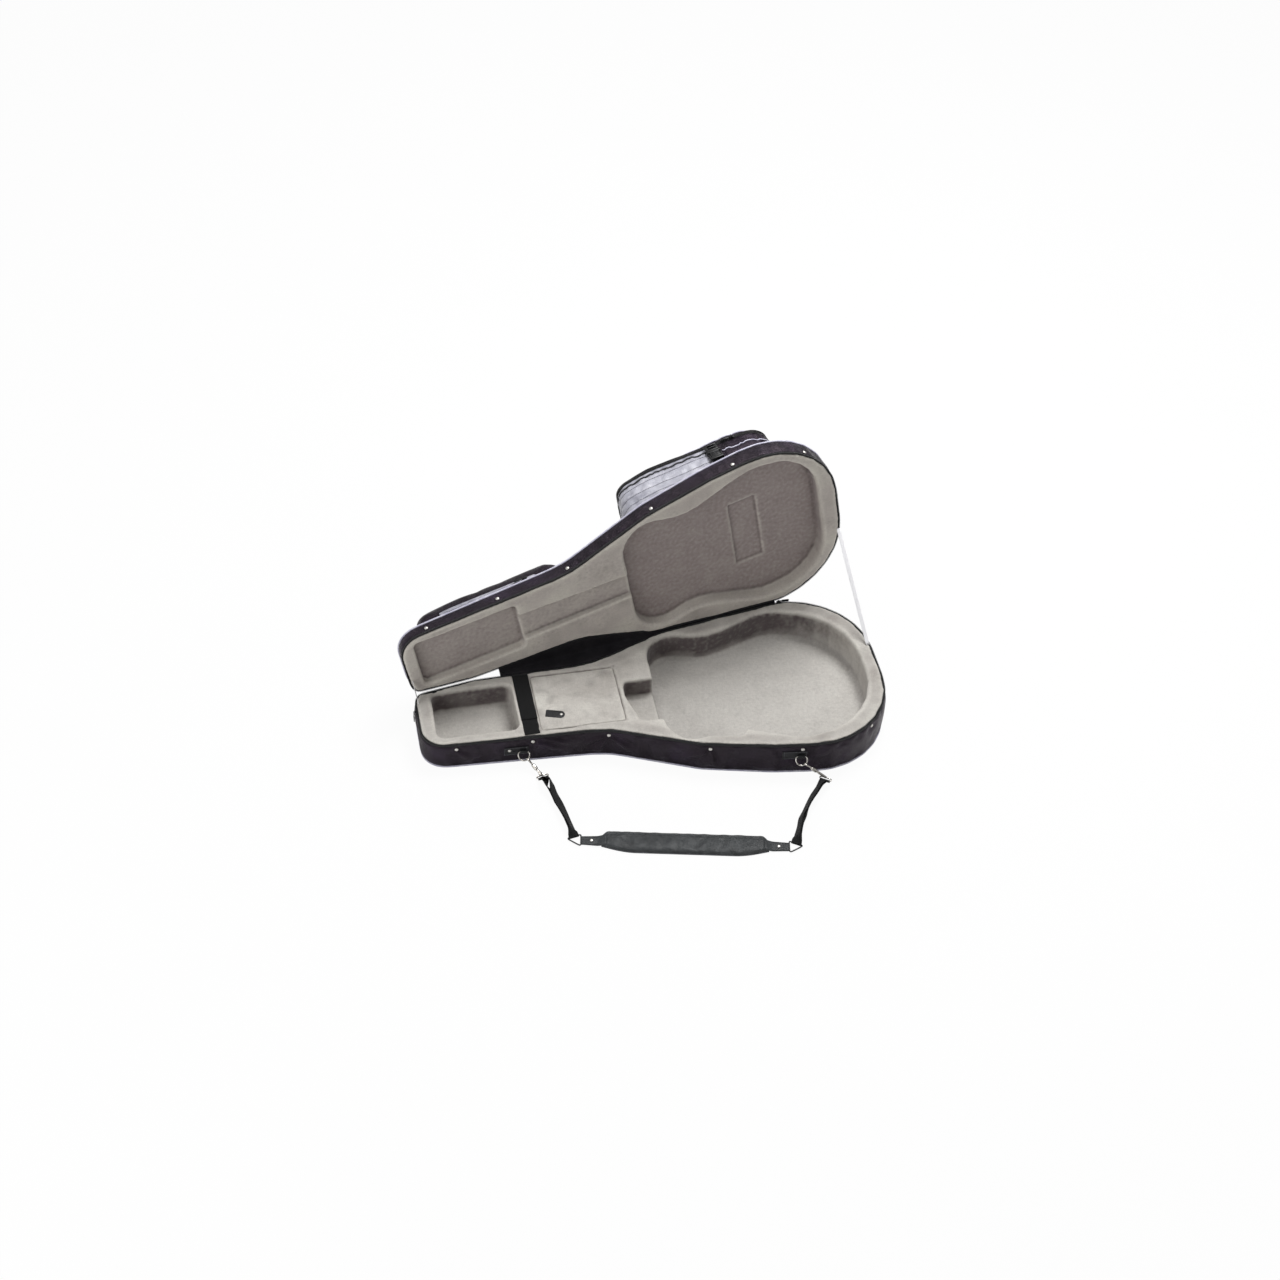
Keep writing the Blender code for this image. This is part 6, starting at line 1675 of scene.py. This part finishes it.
# %% Lay the neck strap
def tape_half(node, name, body):
    low, high = (Vector(corner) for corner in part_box(node))
    count = 40
    ys = np.linspace(low.y, high.y, count)
    x = (low.x + high.x) / 2
    z = (low.z + high.z) / 2
    path = [(x, y, z + 0.0002) for y in ys]
    across = np.tile(np.array(BASE.to_3x3() @ Vector((1, 0, 0))), (count, 1))
    thing = strap(name, path, across, 0.0368, 0.0015)
    ruffle(thing, 0.03, 0.0004, 2.0 if body.endswith("back") else 6.0)
    return finish(thing, HOOK_TAPE, body, "black_webbing", node)


tape_half("neck_strap_back", "neck_tape_back", "neck_strap_back")
tape_half("neck_strap_front", "neck_tape_front", "neck_strap_front")

# %% [markdown]
# ## Ribbons that stop the lid
# A white satin ribbon at each end stops the lid upright. Both ends are sewn in, so the ribbon
# runs from the base to the lid as it stands open, bowed a little, and goes with neither body.

# %% Tie the ribbons
def stay(node, name, x, base_y, lid_y, edge_on):
    start = BASE @ Vector((x, base_y, 0.0006))
    end = LID @ Vector((x, lid_y, -0.0006))
    run = end - start
    path, across = [], []
    for t in np.linspace(0, 1, 40):
        point = start + run * t
        point += (BASE.to_3x3() @ Vector((0, -1, -0.4))) * 0.012 * math.sin(math.pi * t) * run.length
        turn_by = edge_on + 0.35 * math.sin(math.pi * t)
        path.append(tuple(point))
        across.append((math.cos(turn_by), -math.sin(turn_by), 0))
    thing = strap(name, path, across, 0.0088, 0.0007)
    finish(thing, RIBBON, None, "white_ribbon", node)
    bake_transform(thing)


stay("butt_stay", "butt_ribbon", 0.534, 0.054, 0.075, 0.0)
stay("head_stay", "head_ribbon", -0.534, 0.041, 0.032, 1.35)

# %% [markdown]
# ## Zip sliders and pulls
# A slider is two plates joined by a bridge, with two ears that hold the pull's pin. The pull is
# drawn once in its own small frame, with its pin on the first axis's start, and set on each
# slider by the joint that it turns on.

# %% Cast the sliders and pulls
def blocks(name, parts, place):
    """Rounded blocks as one mesh. A part is (size, centre, bevel)."""
    whole = bmesh.new()
    for size, centre, bevel in parts:
        bm = bmesh.new()
        bmesh.ops.create_cube(bm, size=1.0)
        bmesh.ops.scale(bm, vec=size, verts=bm.verts)
        bmesh.ops.translate(bm, vec=centre, verts=bm.verts)
        bmesh.ops.bevel(bm, geom=bm.edges[:], offset=bevel, segments=3, profile=0.5, affect="EDGES")
        bit = bpy.data.meshes.new("bit")
        bm.to_mesh(bit)
        bm.free()
        whole.from_mesh(bit)
        bpy.data.meshes.remove(bit)
    whole.transform(place)
    mesh = bpy.data.meshes.new(name)
    whole.to_mesh(mesh)
    whole.free()
    thing = bpy.data.objects.new(name, mesh)
    scene.collection.objects.link(thing)
    box_map(thing)
    return thing


def middle_of(node):
    low, high = (Vector(corner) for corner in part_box(node))
    return (low + high) / 2


def zip_fittings(prefix, slider_node, pull_node, joint_name):
    joint = next(j for j in frame["joints"] if j["name"] == joint_name)
    pin, across = Vector(joint["pos_m"]), Vector(joint["axis"]).normalized()
    along = middle_of(pull_node) - pin
    along = (along - across * along.dot(across)).normalized()
    outward = (pin - middle_of(slider_node))
    outward = (outward - across * outward.dot(across) - along * outward.dot(along)).normalized()
    place = Matrix.Translation(pin) @ Matrix((along, outward.cross(along), outward)).transposed().to_4x4()
    body = body_of(slider_node)
    plates = [((0.0120, 0.0080, 0.0013), (0, 0, -0.0050), 0.0005),
              ((0.0112, 0.0074, 0.0012), (0, 0, -0.0022), 0.0005),
              ((0.0035, 0.0040, 0.0030), (-0.0030, 0, -0.0035), 0.0004),
              ((0.0030, 0.0010, 0.0024), (0, 0.0036, -0.0006), 0.0004),
              ((0.0030, 0.0010, 0.0024), (0, -0.0036, -0.0006), 0.0004)]
    finish(blocks(prefix + "_slider_metal", plates, place), LACQUER, body, "nickel_plated_steel",
           slider_node, sharp=40)
    tab = [((0.0030, 0.0046, 0.0016), (0.0004, 0, 0), 0.0005),
           ((0.0080, 0.0012, 0.0013), (0.0052, 0.0017, 0), 0.0004),
           ((0.0080, 0.0012, 0.0013), (0.0052, -0.0017, 0), 0.0004),
           ((0.0175, 0.0068, 0.0019), (0.0172, 0, 0), 0.0007),
           ((0.0090, 0.0040, 0.0022), (0.0180, 0, 0), 0.0005)]
    tab += [((0.0008, 0.0052, 0.0024), (0.0120 + 0.0022 * k, 0, 0), 0.0003) for k in range(3)]
    grip = ACETAL if prefix in ("butt", "neck") else LACQUER
    finish(blocks(prefix + "_pull_tab", tab, place), grip, body_of(pull_node),
           "nickel_plated_steel", pull_node, sharp=40)


zip_fittings("butt", "butt_zip_slider", "butt_zip_pull", "butt_zip_pull_hinge")
zip_fittings("head", "head_zip_slider", "head_zip_pull", "head_zip_pull_hinge")
zip_fittings("main", "main_zip_slider", "main_zip_pull", "main_zip_pull_hinge")
zip_fittings("neck", "neck_zip_slider", "neck_zip_pull", "neck_zip_pull_hinge")

# %% [markdown]
# ## The side-release buckle
# A short webbing strap and a moulded buckle draw the large pocket flat. The socket is a flat
# acetal sleeve with open sides, and the plug's two prongs show in them.

# %% Mould the buckle
def buckle():
    socket, plug, web = middle_of("buckle_socket"), middle_of("buckle_plug"), middle_of("buckle_webbing")
    frame3 = LID.to_3x3()
    axes = Matrix((frame3 @ Vector((1, 0, 0)), frame3 @ Vector((0, 0, 1)),
                   frame3 @ Vector((0, -1, 0)))).transposed().to_4x4()
    at = Matrix.Translation(socket) @ axes
    parts = [((0.0335, 0.0070, 0.0088), (0, 0.0110, 0), 0.0018),
             ((0.0335, 0.0080, 0.0088), (0, -0.0105, 0), 0.0018),
             ((0.0230, 0.0180, 0.0030), (0, 0, 0.0028), 0.0010),
             ((0.0230, 0.0180, 0.0030), (0, 0, -0.0028), 0.0010),
             ((0.0040, 0.0150, 0.0050), (0.0140, 0, 0), 0.0016),
             ((0.0040, 0.0150, 0.0050), (-0.0140, 0, 0), 0.0016)]
    parts += [((0.0160, 0.0012, 0.0010), (0, -0.0050 + 0.0034 * k, 0.0044), 0.0003) for k in range(4)]
    finish(blocks("buckle_socket_moulded", parts, at), ACETAL, "lid", "black_acetal", "buckle_socket", sharp=40)
    at = Matrix.Translation(plug) @ axes
    parts = [((0.0300, 0.0060, 0.0068), (0, -0.0078, 0), 0.0015),
             ((0.0060, 0.0200, 0.0050), (0.0118, 0, 0), 0.0015),
             ((0.0060, 0.0200, 0.0050), (-0.0118, 0, 0), 0.0015),
             ((0.0300, 0.0045, 0.0064), (0, 0.0085, 0), 0.0015),
             ((0.0240, 0.0035, 0.0040), (0, 0.0015, 0), 0.0012)]
    finish(blocks("buckle_plug_moulded", parts, at), ACETAL, "lid", "black_acetal", "buckle_plug", sharp=40)
    low = web - Vector(axes.col[1][:3]) * 0.0205
    high = web + Vector(axes.col[1][:3]) * 0.0700
    path = np.linspace(low, high, 24)
    thing = strap("buckle_strap", path, np.tile(np.array(axes.col[0][:3]), (24, 1)), 0.0245, 0.0014)
    finish(thing, WEBBING, "lid", "black_webbing", "buckle_webbing")


buckle()

# %% [markdown]
# ## The carry handle
# The handle on the hinge side is a bent steel bail with a sewn grip. Its solid gives the bail,
# and a leatherette sleeve with soft finger ridges is drawn round the grip.

# %% Wrap the handle
def handle():
    polished("carry_handle", 0.0020, ACETAL, "black_acetal")
    joint = next(j for j in frame["joints"] if j["name"] == "carry_handle_hinge")
    start, way = Vector(joint["pos_m"]), Vector(joint["axis"]).normalized()
    span = (middle_of("handle_mount_body") - middle_of("handle_mount_head")).length
    if (middle_of("carry_handle") - start).dot(way) < 0:
        way = -way
    down = BASE.to_3x3() @ Vector((0, 0, -1))
    down = (down - way * down.dot(way)).normalized()
    reach = 0.036
    inset = 0.0275
    line, radii = [], []
    for t in np.linspace(0, 1, 60):
        line.append(tuple(start + way * (inset + (span - 2 * inset) * t) + down * reach))
        edge = min(1.0, min(t, 1 - t) / 0.05)
        radii.append(0.0084 * (0.90 + 0.10 * edge) + 0.0004 * math.cos(t * math.pi * 10) * edge)
    thing = tube("handle_grip_sleeve", line, radii, 20)
    finish(thing, PATCH_SKIN, "carry_handle", "black_leatherette")
    seam = [tuple(Vector(p) + down * 0.0088) for p in line[2:-2]]
    sewn("handle_grip_stitches", [seam], "carry_handle", GREY_THREAD, "black_leatherette",
         spacing=0.0034, length=0.0024, radius=0.0003)


handle()

# %% Finish
bpy.context.view_layer.update()
